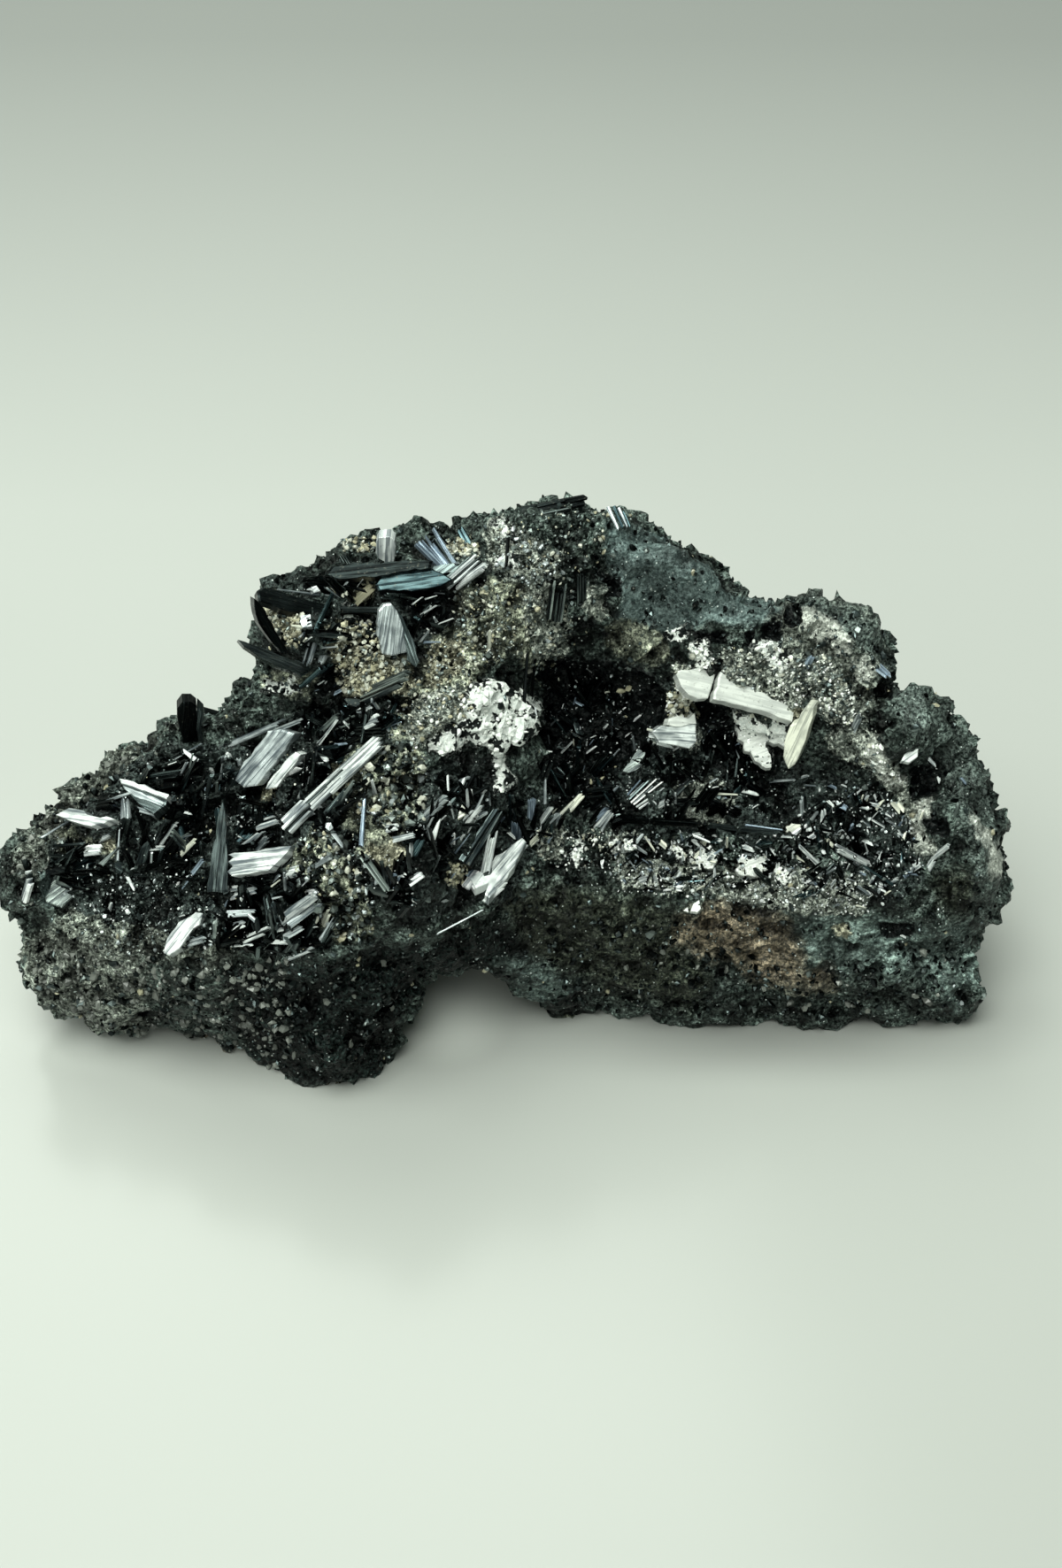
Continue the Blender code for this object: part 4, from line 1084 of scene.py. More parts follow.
def broken_edge(outline, rng, step=7, jitter=0.8):
    """The outline with more corners, each a little off the line, as a broken crystal's edge."""
    corners = []
    for (x0, y0), (x1, y1) in zip(outline, outline[1:] + outline[:1]):
        parts = max(int(math.hypot(x1 - x0, y1 - y0) / step), 1)
        corners += [(x0 + (x1 - x0) * k / parts + rng.gauss(0, jitter) * (k > 0),
                     y0 + (y1 - y0) * k / parts + rng.gauss(0, jitter) * (k > 0)) for k in range(parts)]
    return tuple(corners)


def draw_plate(bunch, rng, outline, tone, lift=0.15, thickness=0.5, stripes=35, anchor=None, brightness=1.0,
               axis=None):
    """A flat chip. `lift` and `thickness` are in mm, and `stripes` is the striations' way in degrees.

    `anchor` and `axis` give a line in space to lay it along. Without them it lies on the ore.
    """
    outline = broken_edge(outline, rng)
    middle_x = sum(x for x, _ in outline) / len(outline)
    middle_y = sum(y for _, y in outline) / len(outline)
    ground = depth_at(middle_x, middle_y) if anchor is None else (anchor - EYE).dot(FORWARD)
    if ground is None:
        return
    facing = LIGHT_WAY + EYE_WAY * 1.2 + Vector((rng.gauss(0, 0.1), rng.gauss(0, 0.1), 0))
    if axis is not None:
        facing -= axis * facing.dot(axis)
    facing.normalize()
    anchor = EYE + sight(middle_x, middle_y) * (ground - lift * MM)
    lines = [sight(x, y) for x, y in outline]
    front = [EYE + line * ((anchor - EYE).dot(facing) / line.dot(facing)) for line in lines]
    rim = [corner + (anchor - corner) * BEVEL_SHARE for corner in front]
    count = len(front)
    raised = [corner + facing * BEVEL_HEIGHT * MM for corner in rim]
    rings = (raised, front, [corner - facing * thickness * MM for corner in front])
    points = np.array([tuple(p) for ring in rings for p in ring])
    faces = [tuple(reversed(range(count))), tuple(range(2 * count, 3 * count))]
    for low in (0, count):
        faces += [(low + i, low + (i + 1) % count, low + count + (i + 1) % count, low + count + i)
                  for i in range(count)]
    turn = sum((x1 - x0) * (y1 + y0) for (x0, y0), (x1, y1) in zip(outline, outline[1:] + outline[:1]))
    if turn < 0:
        faces = [tuple(reversed(face)) for face in faces]
    angle = math.radians(stripes)
    sine, cosine = math.sin(angle), math.cos(angle)
    flat = np.array([(x * sine + y * cosine, x * cosine - y * sine, 0) for x, y in outline])
    flat = flat / PIXELS_PER_MM * MM
    add_to(bunch, points, faces, shaded(tone, brightness * rng.uniform(0.9, 1.05)), np.tile(flat, (3, 1)))


print("a plate's bevel rises", BEVEL_HEIGHT, "mm")

# %% [markdown]
# A big crystal has to stay in sight, so its footprint in the picture is written down when it is made.
# Blades that are scattered later test their line against these footprints and stay away, just as a young
# crystal cannot grow through an older one.

# %% Footprints of the big crystals
def inside(outline, x, y):
    within = False
    for (x0, y0), (x1, y1) in zip(outline, outline[1:] + outline[:1]):
        if (y0 > y) != (y1 > y) and x < x0 + (x1 - x0) * (y - y0) / (y1 - y0):
            within = not within
    return within


footprints = []


def remember(x0, y0, x1, y1, width):
    """A standing or drawn crystal's outline in the picture, which later blades must not cover."""
    length = math.hypot(x1 - x0, y1 - y0)
    across_x, across_y = (y1 - y0) / length * (width / 2 + 1), -(x1 - x0) / length * (width / 2 + 1)
    footprints.append(((x0 + across_x, y0 + across_y), (x1 + across_x, y1 + across_y),
                       (x1 - across_x, y1 - across_y), (x0 - across_x, y0 - across_y)))


def covers(x0, y0, x1, y1):
    spots = [(x0 + (x1 - x0) * t, y0 + (y1 - y0) * t) for t in (0, 0.33, 0.66, 1)]
    return any(inside(outline, *spot) for outline in footprints for spot in spots)


print("footprints so far", len(footprints))

# %% [markdown]
# Most standing crystals show one broad flat face with chipped edges. Those are plates with an outline of
# their own, laid through the middle of their solid and along it. Splinters, needles and broken ends are
# laths drawn one by one at the depth of their solid. The few without either are plain laths, as wide and
# long as their solid.

# %% Faces of the standing crystals
PLATE_THICKNESS = 0.9
PLATES_OF = {
    # name: (outline, striation angle, tone, brightness, depth towards the eye in mm)
    "buried_blade": (
        (((764, 762), (770, 757), (780, 757), (790, 754), (800, 758), (809, 757), (806, 770), (800, 789),
          (790, 790), (778, 785), (770, 776)), -14, "chalk", 0.74, 0.5),
        (((814, 759), (822, 765), (830, 765), (836, 773), (850, 777), (864, 783), (872, 790), (884, 794),
          (897, 804), (895, 816), (880, 811), (860, 803), (840, 798), (820, 793), (806, 790)), -14,
         "chalk", 0.68, 0.45),
    ),
    "leaf_blade": (
        (((891, 869), (885, 855), (886, 840), (893, 820), (901, 817), (905, 806), (912, 797), (920, 798),
          (918, 812), (912, 830), (905, 850), (898, 864)), 65, "cream", 0.9, 0.5),
    ),
    "corner_prism": (
        (((200, 801), (206, 793), (216, 793), (222, 798), (224, 838), (206, 842)), 84, "black", 0.8, 0.6),
        (((222, 798), (229, 805), (230, 836), (224, 838)), 84, "slate", 0.6, 0.5),
    ),
    "wing_blade": (
        (((63, 921), (78, 913), (95, 916), (99, 921), (130, 926), (103, 934), (84, 929)), -6, "white",
         0.85, 0.3),
    ),
    "upright_slab": (
        (((234, 1008), (240, 960), (247, 918), (252, 903), (255, 918), (257, 960), (258, 1008)), 84,
         "slate", 0.45, 0.6),
    ),
    "upright_blade": (
        (((428, 690), (434, 683), (442, 682), (449, 691), (457, 714), (460, 737), (444, 741), (432, 739),
          (426, 718)), 82, "silver", 0.95, 0.6),
        (((449, 691), (454, 695), (470, 731), (474, 747), (470, 754), (460, 747), (460, 737), (457, 714)),
         110, "slate", 0.9, 0.5),
    ),
    "spike_blade": (
        (((269, 723), (283, 728), (318, 741), (345, 750), (352, 757), (340, 764), (312, 753), (292, 742),
          (276, 731)), -22, "dark", 0.6, 0.4),
    ),
    "cluster_edge_blade": (
        (((290, 668), (296, 664), (306, 665), (330, 673), (367, 683), (376, 690), (372, 697), (350, 694),
          (322, 690), (302, 682), (292, 679)), -14, "black", 1.2, 0.4),
    ),
    "cluster_side_blade": (
        (((287, 676), (292, 680), (300, 690), (308, 705), (317, 722), (325, 735), (318, 738), (308, 727),
          (297, 712), (289, 695)), -60, "black", 1.2, 0.4),
    ),
    "dark_long_blade": (
        (((424, 660), (432, 650), (460, 644), (487, 642), (500, 648), (512, 655), (500, 662), (480, 666),
          (450, 668), (428, 668)), 8, "teal", 0.3, 0.5),
        (((367, 650), (375, 640), (400, 636), (430, 637), (460, 633), (489, 634), (487, 642), (455, 646),
          (430, 651), (380, 655)), 6, "black", 1.0, 0.7),
    ),
    "striped_blade": (
        (((134, 880), (150, 883), (191, 899), (187, 910), (173, 920), (156, 908), (141, 892)), -24,
         "slate", 0.75, 1.0),
        (((135, 880), (150, 883), (191, 898), (188, 903), (150, 889), (137, 885)), -24, "white", 0.9, 1.15),
        (((139, 888), (152, 893), (186, 907), (182, 911), (150, 899), (141, 892)), -24, "silver", 1.1,
         1.15),
        (((150, 901), (159, 904), (177, 916), (172, 920), (157, 909)), -24, "white", 0.8, 1.15),
    ),
    "broad_blade": (
        (((266, 882), (272, 868), (288, 846), (303, 826), (318, 824), (333, 829), (322, 848), (306, 868),
          (290, 888), (276, 890)), 50, "silver", 1.05, 0.4),
        (((303, 884), (309, 876), (322, 860), (334, 850), (340, 853), (330, 868), (313, 890), (300, 892)),
         50, "white", 0.85, 0.9),
    ),
    "bed_blade": (
        (((258, 966), (264, 969), (258, 974), (263, 979), (257, 985), (262, 990), (280, 988), (303, 984),
          (318, 970), (329, 956), (300, 959), (280, 963)), 8, "white", 0.85, 0.4),
    ),
    "summit_crystal": (
        (((425, 612), (428, 607), (434, 606), (441, 606), (446, 610), (447, 618), (445, 637), (436, 638),
          (424, 635)), 88, "white", 1.0, 0.3),
    ),
    "fibrous_block": (
        (((737, 827), (747, 820), (786, 818), (787, 838), (779, 846), (762, 842), (745, 839)), -4, "white",
         0.85, 0.3),
        (((756, 812), (766, 809), (778, 812), (785, 806), (787, 818), (770, 821), (754, 819)), -4, "chalk",
         0.74, 0.35),
    ),
    "splinter_bundle": (
        (((531, 992), (545, 984), (560, 967), (573, 960), (590, 947), (595, 952), (586, 968), (576, 986),
          (563, 1003), (553, 1015), (548, 1011), (552, 998), (538, 1004)), 50, "white", 0.9, 0.2),
    ),
    "front_blade": (
        (((185, 1077), (189, 1060), (202, 1042), (221, 1031), (229, 1032), (226, 1045), (214, 1056),
          (203, 1072), (191, 1080)), 50, "white", 0.8, 0.3),
    ),
}
print("crystals with flat faces", len(PLATES_OF))

# %% [markdown]
# The laths of the splinters, the needles and the bundle ends, each from foot to tip.

# %% Laths of the standing crystals
# A brightness above one paints a lath lighter than its tone: a painted highlight on faces that mirror the
# light.
LINES_OF = {
    # name: (foot x, foot y, tip x, tip y, width, laths, tone, brightness)
    "long_bright_blade": (
        (321, 937, 353, 905, 19, 5, "white", 1.0), (348, 911, 396, 866, 15, 4, "white", 0.9),
        (368, 893, 435, 831, 16, 4, "white", 1.0),
    ),
    "fibrous_block": (
        (733, 831, 752, 834, 4, 2, "white", 1.0), (731, 824, 750, 828, 3, 1, "cream", 1.0),
        (742, 840, 762, 845, 3, 2, "white", 1.0), (736, 836, 757, 839, 3, 1, "grey", 1.0),
    ),
    "notch_crystal": (
        (687, 573, 699, 599, 5, 1, "silver", 1.2), (694, 572, 704, 597, 4, 1, "teal", 1.6),
        (699, 574, 709, 596, 4, 1, "silver", 1.1), (704, 578, 712, 596, 3, 1, "teal", 1.8),
    ),
    "splinter_bundle": (
        (526, 1003, 552, 968, 8, 2, "white", 1.3), (532, 1002, 560, 974, 8, 2, "white", 1.4),
        (540, 1002, 578, 957, 8, 2, "white", 1.4), (548, 1000, 592, 950, 8, 2, "white", 1.4),
        (552, 1003, 590, 960, 6, 2, "white", 1.3), (552, 1013, 573, 990, 6, 2, "white", 1.4),
        (528, 990, 548, 962, 5, 1, "blue", 1.4), (547, 1019, 562, 1001, 5, 1, "white", 1.2),
        (556, 990, 596, 955, 5, 1, "white", 1.3), (536, 992, 561, 966, 3, 1, "dark", 1.0),
        (552, 994, 576, 968, 3, 1, "dark", 1.0),
    ),
    "needle_fan": (
        (709, 898, 724, 881, 2.4, 1, "blue", 1.5), (711, 903, 733, 882, 2.2, 1, "blue", 1.6),
        (713, 907, 742, 880, 2.4, 1, "white", 1.5), (717, 907, 738, 888, 1.8, 1, "silver", 1.6),
        (716, 909, 749, 883, 2.6, 1, "white", 1.5), (719, 912, 751, 890, 2.4, 1, "white", 1.5),
        (722, 914, 744, 899, 2.6, 1, "white", 1.5), (712, 899, 728, 884, 1.8, 1, "silver", 1.6),
    ),
}


print("crystals with laths of their own", len(LINES_OF))

# %% [markdown]
# Each standing crystal has its own random numbers, seeded by its name, so that a change to one leaves the
# others alone. A drawn lath takes its depth from the axis of the solid at the same place in the picture.

# %% Build the standing pieces
def stand_line(bunch, rng, foot, tip, line):
    """A lath drawn in pixels, laid at the depth that the standing crystal has there."""
    x0, y0, x1, y1, width, laths, tone, brightness = line
    (foot_x, tip_x), (foot_y, tip_y) = pixels_of(np.array([foot, tip]))
    axis = np.array((tip_x - foot_x, tip_y - foot_y))
    ends = []
    for x, y in ((x0, y0), (x1, y1)):
        share = min(max(np.dot((x - foot_x, y - foot_y), axis) / axis.dot(axis), -0.2), 1.2)
        ends.append(EYE + sight(x, y) * ((foot + (tip - foot) * share - EYE).dot(FORWARD)))
    wobble = Vector((rng.gauss(0, 0.12), rng.gauss(0, 0.12), 0))
    way = LIGHT_WAY + EYE_WAY * 0.3 + wobble
    add_blade(bunch, rng, *ends, width / PIXELS_PER_MM * MM, way, tone, laths, 0.5, 0.1, 0.25,
              brightness=brightness)
    remember(x0, y0, x1, y1, width)


def stand_crystal(name, foot, tip, width, tone):
    rng = random.Random(name)
    bunch = new_bunch()
    foot, tip = (Vector(foot) + MIDDLE) * MM, (Vector(tip) + MIDDLE) * MM
    foot -= (tip - foot).normalized() * ROOT_DEPTH
    (x0, x1), (y0, y1) = pixels_of(np.array([foot, tip]))
    remember(x0, y0, x1, y1, width * PIXELS_PER_MM)
    for outline, angle, plate_tone, light, lift in PLATES_OF.get(name, ()):
        draw_plate(bunch, rng, outline, plate_tone, lift, PLATE_THICKNESS, angle, (foot + tip) / 2, light,
                   (tip - foot).normalized())
        footprints.append(outline)
    for line in LINES_OF.get(name, ()):
        stand_line(bunch, rng, foot, tip, line)
    if name in LATHS_OF:
        laths, share, streaks, ragged, spread, light = LATHS_OF[name]
        way = LIGHT_WAY if tone in ("white", "silver", "blue") else EYE_WAY + LIGHT_WAY * 0.3
        add_blade(bunch, rng, foot, tip, width * MM, way, tone, laths, share, streaks, ragged, spread,
                  brightness=light)
    piece = finish_bunch(bunch, name + "_laths", CRYSTAL)
    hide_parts(name)


for name, row in STANDING.items():
    stand_crystal(name, *row)
print("standing crystals", len(STANDING))

# %% [markdown]
# Between the drawn crystals grow many more. `plant` scatters blades at random over an outline, with a
# spread of directions, sizes and tones, and `sow` strews angular grains. The numbers are seeded, so each
# run is the same.

# %% Scatter crystals and grains
def random_pixel(rng, outline, keep_off=()):
    xs, ys = [x for x, _ in outline], [y for _, y in outline]
    while True:
        x, y = rng.uniform(min(xs), max(xs)), rng.uniform(min(ys), max(ys))
        if inside(outline, x, y) and not any(inside(other, x, y) for other in keep_off):
            return x, y


FULL_TURN = 6.28
GRANULAR = (
    ((66, 1018), (92, 985), (150, 990), (236, 984), (240, 1072), (180, 1085), (120, 1078), (84, 1045)),
    ((338, 950), (372, 930), (410, 945), (425, 990), (421, 1064), (380, 1060), (350, 1035), (333, 990)),
    ((400, 880), (420, 845), (466, 836), (484, 870), (480, 930), (440, 940), (404, 925)),
)
BARE = ZONES["olive"] + ZONES["ochre"] + ZONES["white"][:1] + GRANULAR


def plant(bunch, rng, outline, count, directions, length, width, tones, lift=(0.1, 0.8)):
    """`directions` are (degrees, spread, weight), `tones` {name: weight}, `lift` a share of the length."""
    for _ in range(count):
        x, y = random_pixel(rng, outline, BARE)
        degrees, spread, _ = rng.choices(directions, [d[2] for d in directions])[0]
        angle = math.radians(rng.gauss(degrees, spread))
        size = rng.uniform(*length)
        tone = rng.choices(list(tones), list(tones.values()))[0]
        broad = rng.uniform(*width)
        end_x, end_y = x + size * math.cos(angle), y - size * math.sin(angle)
        if covers(x, y, end_x, end_y) or not inside(outline, end_x, end_y):
            continue
        laths = rng.choice((1, 1, 2, 3)) if broad > 5 else 1
        raised = rng.uniform(*lift) * size / PIXELS_PER_MM
        draw_blade(bunch, rng, x, y, end_x, end_y, broad, laths, tone, raised, 0.2, rng.uniform(0.1, 0.9))


def add_grain(bunch, rng, middle, size, tone, factor=1.0):
    """One angular grain, turned and stretched at random."""
    shape, faces = rng.choice(GRAINS)
    angle = rng.uniform(0, FULL_TURN)
    turn = Matrix.Rotation(angle, 3, Vector((rng.gauss(0, 1), rng.gauss(0, 1), rng.gauss(0, 1))))
    stretch = np.array([rng.uniform(0.45, 1.5) for _ in range(3)]) * size
    points = (shape * stretch) @ np.array(turn).T + np.array(middle)
    add_to(bunch, points, faces, shaded(tone, factor), points * 0)


def sow(bunch, rng, outline, count, size, tones, sink=0.15):
    """Grains over an outline. `size` is in mm, with more small ones, and `sink` is a share of a grain."""
    for _ in range(count):
        x, y = random_pixel(rng, outline)
        hits = [tree.ray_cast(EYE, sight(x, y)) for tree in grounds]
        hits = [(found[3], found[0], found[1]) for found in hits if found[0] is not None]
        if not hits:
            continue
        _, hit, normal = min(hits, key=lambda found: found[0])
        across_grain = (size[0] + (size[1] - size[0]) * rng.random() ** 2) * MM
        tone = rng.choices(list(tones), list(tones.values()))[0]
        light = rng.uniform(0.8, 1.15) if tone in ("chalk", "white", "silver") else rng.uniform(0.3, 0.95)
        add_grain(bunch, rng, hit + normal * across_grain * (0.5 - sink), across_grain, tone, light)


print("ready to grow")

# %% [markdown]
# ## How a bed of crystals grows
# Every bed is made in the same order. Dark blades fill it in all directions. They are hardened, so that
# the drawn blades and chips lie on them and not on the bare ore. Splinters and grains come last.

# %% Grow and close a bunch
ANY_WAY = ((40, 22, 4), (125, 25, 2), (0, 15, 1.5), (90, 14, 2))
BIG_BLADE = 4
BED_TONES = {"black": 14, "dark": 4, "slate": 1.5, "teal": 1.5}
VUG_TONES = {"black": 14, "dark": 1.5, "slate": 0.5, "teal": 1}
BRIGHT_TONES = {"white": 8, "silver": 3, "blue": 1.5, "cream": 1}


def grow(seed, blades, plates, fields, tones=BED_TONES):
    """The dark blades are planted first. They are hardened, and the drawn ones then sit on them."""
    rng = random.Random(seed)
    bunch = new_bunch()
    for outline, count, ways, length, width in fields:
        plant(bunch, rng, outline, count, ways, length, width, tones, (0.05, 0.5))
    harden(bunch)
    for blade in blades:
        draw_blade(bunch, rng, *blade)
        if blade[4] > BIG_BLADE:
            remember(*blade[:5])
    for outline, tone, light in plates:
        draw_plate(bunch, rng, outline, tone, brightness=light)
    return bunch, rng


def close_bunch(bunch, name, node):
    """Makes the bunch one mesh in its node's place, and leaves the bare ore as the only ground."""
    piece = finish_bunch(bunch, name, CRYSTAL)
    grounds[1:] = []
    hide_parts(node)
    print(name, len(piece.data.polygons), "faces")


print("dark tones", BED_TONES, "bright tones", BRIGHT_TONES)

# %% [markdown]
# ## The left bed
# The widest hollow of the face. Black blades fill it in every direction, and above them lie the pale ones,
# bright where a flat side meets the light.

# %% Left bed
LEFT_BED_OUTLINE = (
    (50, 975), (70, 935), (100, 905), (150, 870), (205, 845), (290, 842), (345, 802), (395, 787),
    (450, 786), (470, 800), (448, 850), (450, 900), (480, 930), (470, 1048), (430, 1020), (392, 1050),
    (350, 1085), (300, 1078), (235, 1072), (180, 1050), (120, 1040), (70, 1020),
)
LEFT_BED_BLADES = (
    # foot x, foot y, tip x, tip y, width, laths, tone
    (226, 803, 287, 819, 7, 2, "black"), (256, 843, 324, 814, 7, 4, "silver"),
    (195, 859, 228, 840, 3, 1, "silver"), (302, 887, 343, 857, 15, 5, "white"),
    (155, 914, 176, 921, 5, 2, "silver"), (178, 872, 197, 890, 8, 3, "grey"),
    (41, 950, 86, 923, 3, 1, "silver"), (176, 964, 197, 931, 4, 1, "white"),
    (203, 967, 222, 948, 6, 2, "cream"), (205, 872, 212, 858, 7, 2, "silver"),
    (210, 887, 218, 851, 4, 1, "grey"), (216, 883, 228, 860, 5, 2, "dark"),
    (203, 912, 233, 883, 4, 1, "dark"), (245, 897, 245, 884, 4, 1, "grey"),
    (286, 930, 286, 900, 4, 1, "dark"), (288, 959, 303, 942, 12, 4, "silver"),
    (303, 1004, 327, 959, 3, 1, "black"), (262, 1012, 291, 1005, 8, 2, "white"),
    (318, 1040, 358, 1010, 9, 2, "white"), (326, 1046, 364, 1018, 6, 2, "silver"),
    (321, 1060, 343, 1047, 6, 2, "silver"), (320, 1083, 357, 1068, 9, 3, "white"),
    (203, 1070, 232, 1060, 8, 3, "silver"), (212, 1056, 232, 1068, 3, 1, "dark"),
    (174, 1044, 209, 1034, 3, 1, "white"), (205, 1003, 232, 968, 5, 2, "blue"),
    (141, 986, 152, 1006, 4, 1, "white"), (134, 1030, 145, 1024, 3, 1, "white"),
    (321, 933, 358, 911, 14, 4, "white"), (424, 898, 420, 881, 5, 1, "white"),
    (407, 970, 412, 902, 5, 1, "blue"), (410, 967, 441, 1011, 6, 2, "grey"),
    (359, 908, 372, 935, 6, 1, "silver"), (372, 935, 388, 957, 6, 1, "silver"),
    (441, 950, 471, 943, 6, 2, "white"), (465, 951, 464, 969, 5, 1, "white"),
    (233, 868, 243, 872, 8, 1, "white"), (300, 830, 345, 812, 5, 2, "silver"),
    (250, 945, 244, 910, 5, 2, "teal"), (345, 985, 377, 966, 5, 2, "silver"),
    (385, 905, 402, 880, 5, 2, "grey"), (120, 905, 150, 895, 4, 1, "silver"),
    (94, 962, 116, 960, 11, 3, "white"), (260, 928, 285, 926, 12, 4, "white"),
    (288, 934, 315, 925, 10, 3, "white"), (323, 988, 339, 984, 12, 3, "white"),
    (259, 1005, 271, 1003, 6, 2, "white"), (346, 1012, 359, 1009, 10, 2, "white"),
    (259, 1049, 278, 1043, 7, 2, "white"), (311, 1051, 321, 1050, 6, 1, "white"),
    (364, 1046, 372, 1028, 9, 2, "cream"), (27, 1014, 34, 988, 16, 3, "white"),
    (414, 818, 428, 812, 11, 3, "white"), (123, 1031, 126, 1020, 5, 1, "white"),
    (436, 937, 450, 934, 8, 2, "white"), (461, 998, 478, 987, 9, 2, "white"),
)
LEFT_BED_PLATES = (
    (((44, 985), (58, 979), (72, 984), (86, 994), (83, 1014), (70, 1026), (52, 1020)), "grey", 0.6),
)


bunch, rng = grow(11, LEFT_BED_BLADES, LEFT_BED_PLATES, (
    (LEFT_BED_OUTLINE, 380, ANY_WAY, (20, 58), (5, 13)),
    (LEFT_BED_OUTLINE, 260, ANY_WAY, (12, 30), (9, 20))))
plant(bunch, rng, LEFT_BED_OUTLINE, 170, ANY_WAY, (5, 20), (2, 7), BRIGHT_TONES, (0.1, 0.6))
plant(bunch, rng, LEFT_BED_OUTLINE, 90, ANY_WAY, (18, 40), (3, 9),
      {"grey": 5, "silver": 3, "slate": 4, "white": 1}, (0.05, 0.4))
sow(bunch, rng, LEFT_BED_OUTLINE, 520, (0.06, 0.18),
    {"white": 3, "cream": 1, "ochre": 1, "silver": 3, "grey": 4})
sow(bunch, rng, GRANULAR[0], 750, (0.07, 0.3), {"silver": 2, "white": 2, "grey": 5, "dark": 7, "black": 6})
for spot in GRANULAR[1:]:
    sow(bunch, rng, spot, 480, (0.14, 0.6),
        {"ochre": 1, "cream": 2, "silver": 2, "grey": 6, "dark": 6, "black": 7})
close_bunch(bunch, "left_bed", "left_bed_crystals")

# %% [markdown]
# ## The upper cluster and the summit
# Long dark blades with ochre grains between them.

# %% Upper cluster
CLUSTER_OUTLINE = (
    (292, 668), (380, 640), (430, 634), (500, 640), (520, 652), (514, 700), (500, 740), (463, 762),
    (400, 790), (350, 782), (300, 752),
)
PEAK_OUTLINE = (
    (566, 592), (600, 572), (667, 562), (690, 580), (684, 626), (661, 655), (650, 735), (622, 735),
    (610, 660), (572, 625),
)
CLUSTER_BLADES = (
    (377, 674, 313, 666, 3, 1, "silver"), (375, 674, 354, 718, 11, 3, "teal"),
    (354, 725, 346, 752, 8, 3, "silver"), (367, 739, 362, 750, 6, 2, "silver"),
    (343, 714, 338, 721, 3, 1, "white"), (357, 646, 393, 674, 8, 2, "cream"),
    (400, 680, 423, 661, 9, 2, "ochre"), (372, 690, 441, 690, 9, 1, "black"),
    (341, 777, 373, 749, 12, 4, "teal"), (405, 790, 463, 764, 15, 5, "grey"),
    (487, 639, 519, 636, 2.5, 1, "silver"), (500, 635, 480, 605, 4, 1, "blue"),
    (505, 620, 493, 606, 8, 3, "silver"), (530, 616, 518, 595, 7, 2, "teal"),
    (501, 663, 543, 626, 11, 4, "white"), (516, 663, 553, 636, 11, 4, "white"),
    (455, 735, 470, 700, 10, 3, "black"), (395, 640, 386, 625, 9, 3, "dark"),
    (460, 640, 440, 655, 5, 2, "silver"), (588, 579, 640, 568, 9, 2, "black"),
    (626, 573, 666, 564, 10, 2, "black"), (600, 587, 650, 576, 6, 2, "dark"),
    (575, 590, 572, 640, 5, 1, "black"),
)
CLUSTER_PLATES = (
    (((340, 696), (351, 694), (353, 708), (342, 710)), "silver", 0.6),
    (((348, 664), (358, 662), (362, 668), (352, 672)), "white", 0.6),
    (((487, 640), (518, 636), (520, 646), (490, 650)), "slate", 0.7),
)
bunch, rng = grow(23, CLUSTER_BLADES, CLUSTER_PLATES, (
    (CLUSTER_OUTLINE, 240, ((35, 30, 2), (160, 25, 3), (90, 20, 1)), (20, 60), (5, 12)),))
plant(bunch, rng, CLUSTER_OUTLINE, 120, ANY_WAY, (6, 22), (2, 6), BRIGHT_TONES, (0.1, 0.6))
OCHRE_SPOTS = (
    (((300, 677), (342, 680), (342, 728), (312, 730)), 120),
    (((384, 700), (420, 704), (463, 742), (463, 770), (434, 785), (384, 782), (376, 740)), 420),
    (((386, 608), (423, 608), (423, 624), (386, 624)), 60),
    (((501, 611), (543, 611), (543, 633), (501, 633)), 90),
)
for spot, count in OCHRE_SPOTS:
    sow(bunch, rng, spot, count, (0.16, 0.46), {"ochre": 5, "cream": 5, "grey": 2, "dark": 1})
sow(bunch, rng, ZONES["pale"][12], 150, (0.14, 0.44), {"silver": 3, "grey": 6, "dark": 2})
sow(bunch, rng, PEAK_OUTLINE, 420, (0.1, 0.34), {"grey": 5, "cream": 2, "dark": 3, "black": 3, "ochre": 1})
close_bunch(bunch, "upper_cluster", "upper_cluster_crystals")

# %% [markdown]
# ## The vug and the centre
# The open black hollow. Only edges and tips catch light in it. Below it lie fans of thin silver needles.

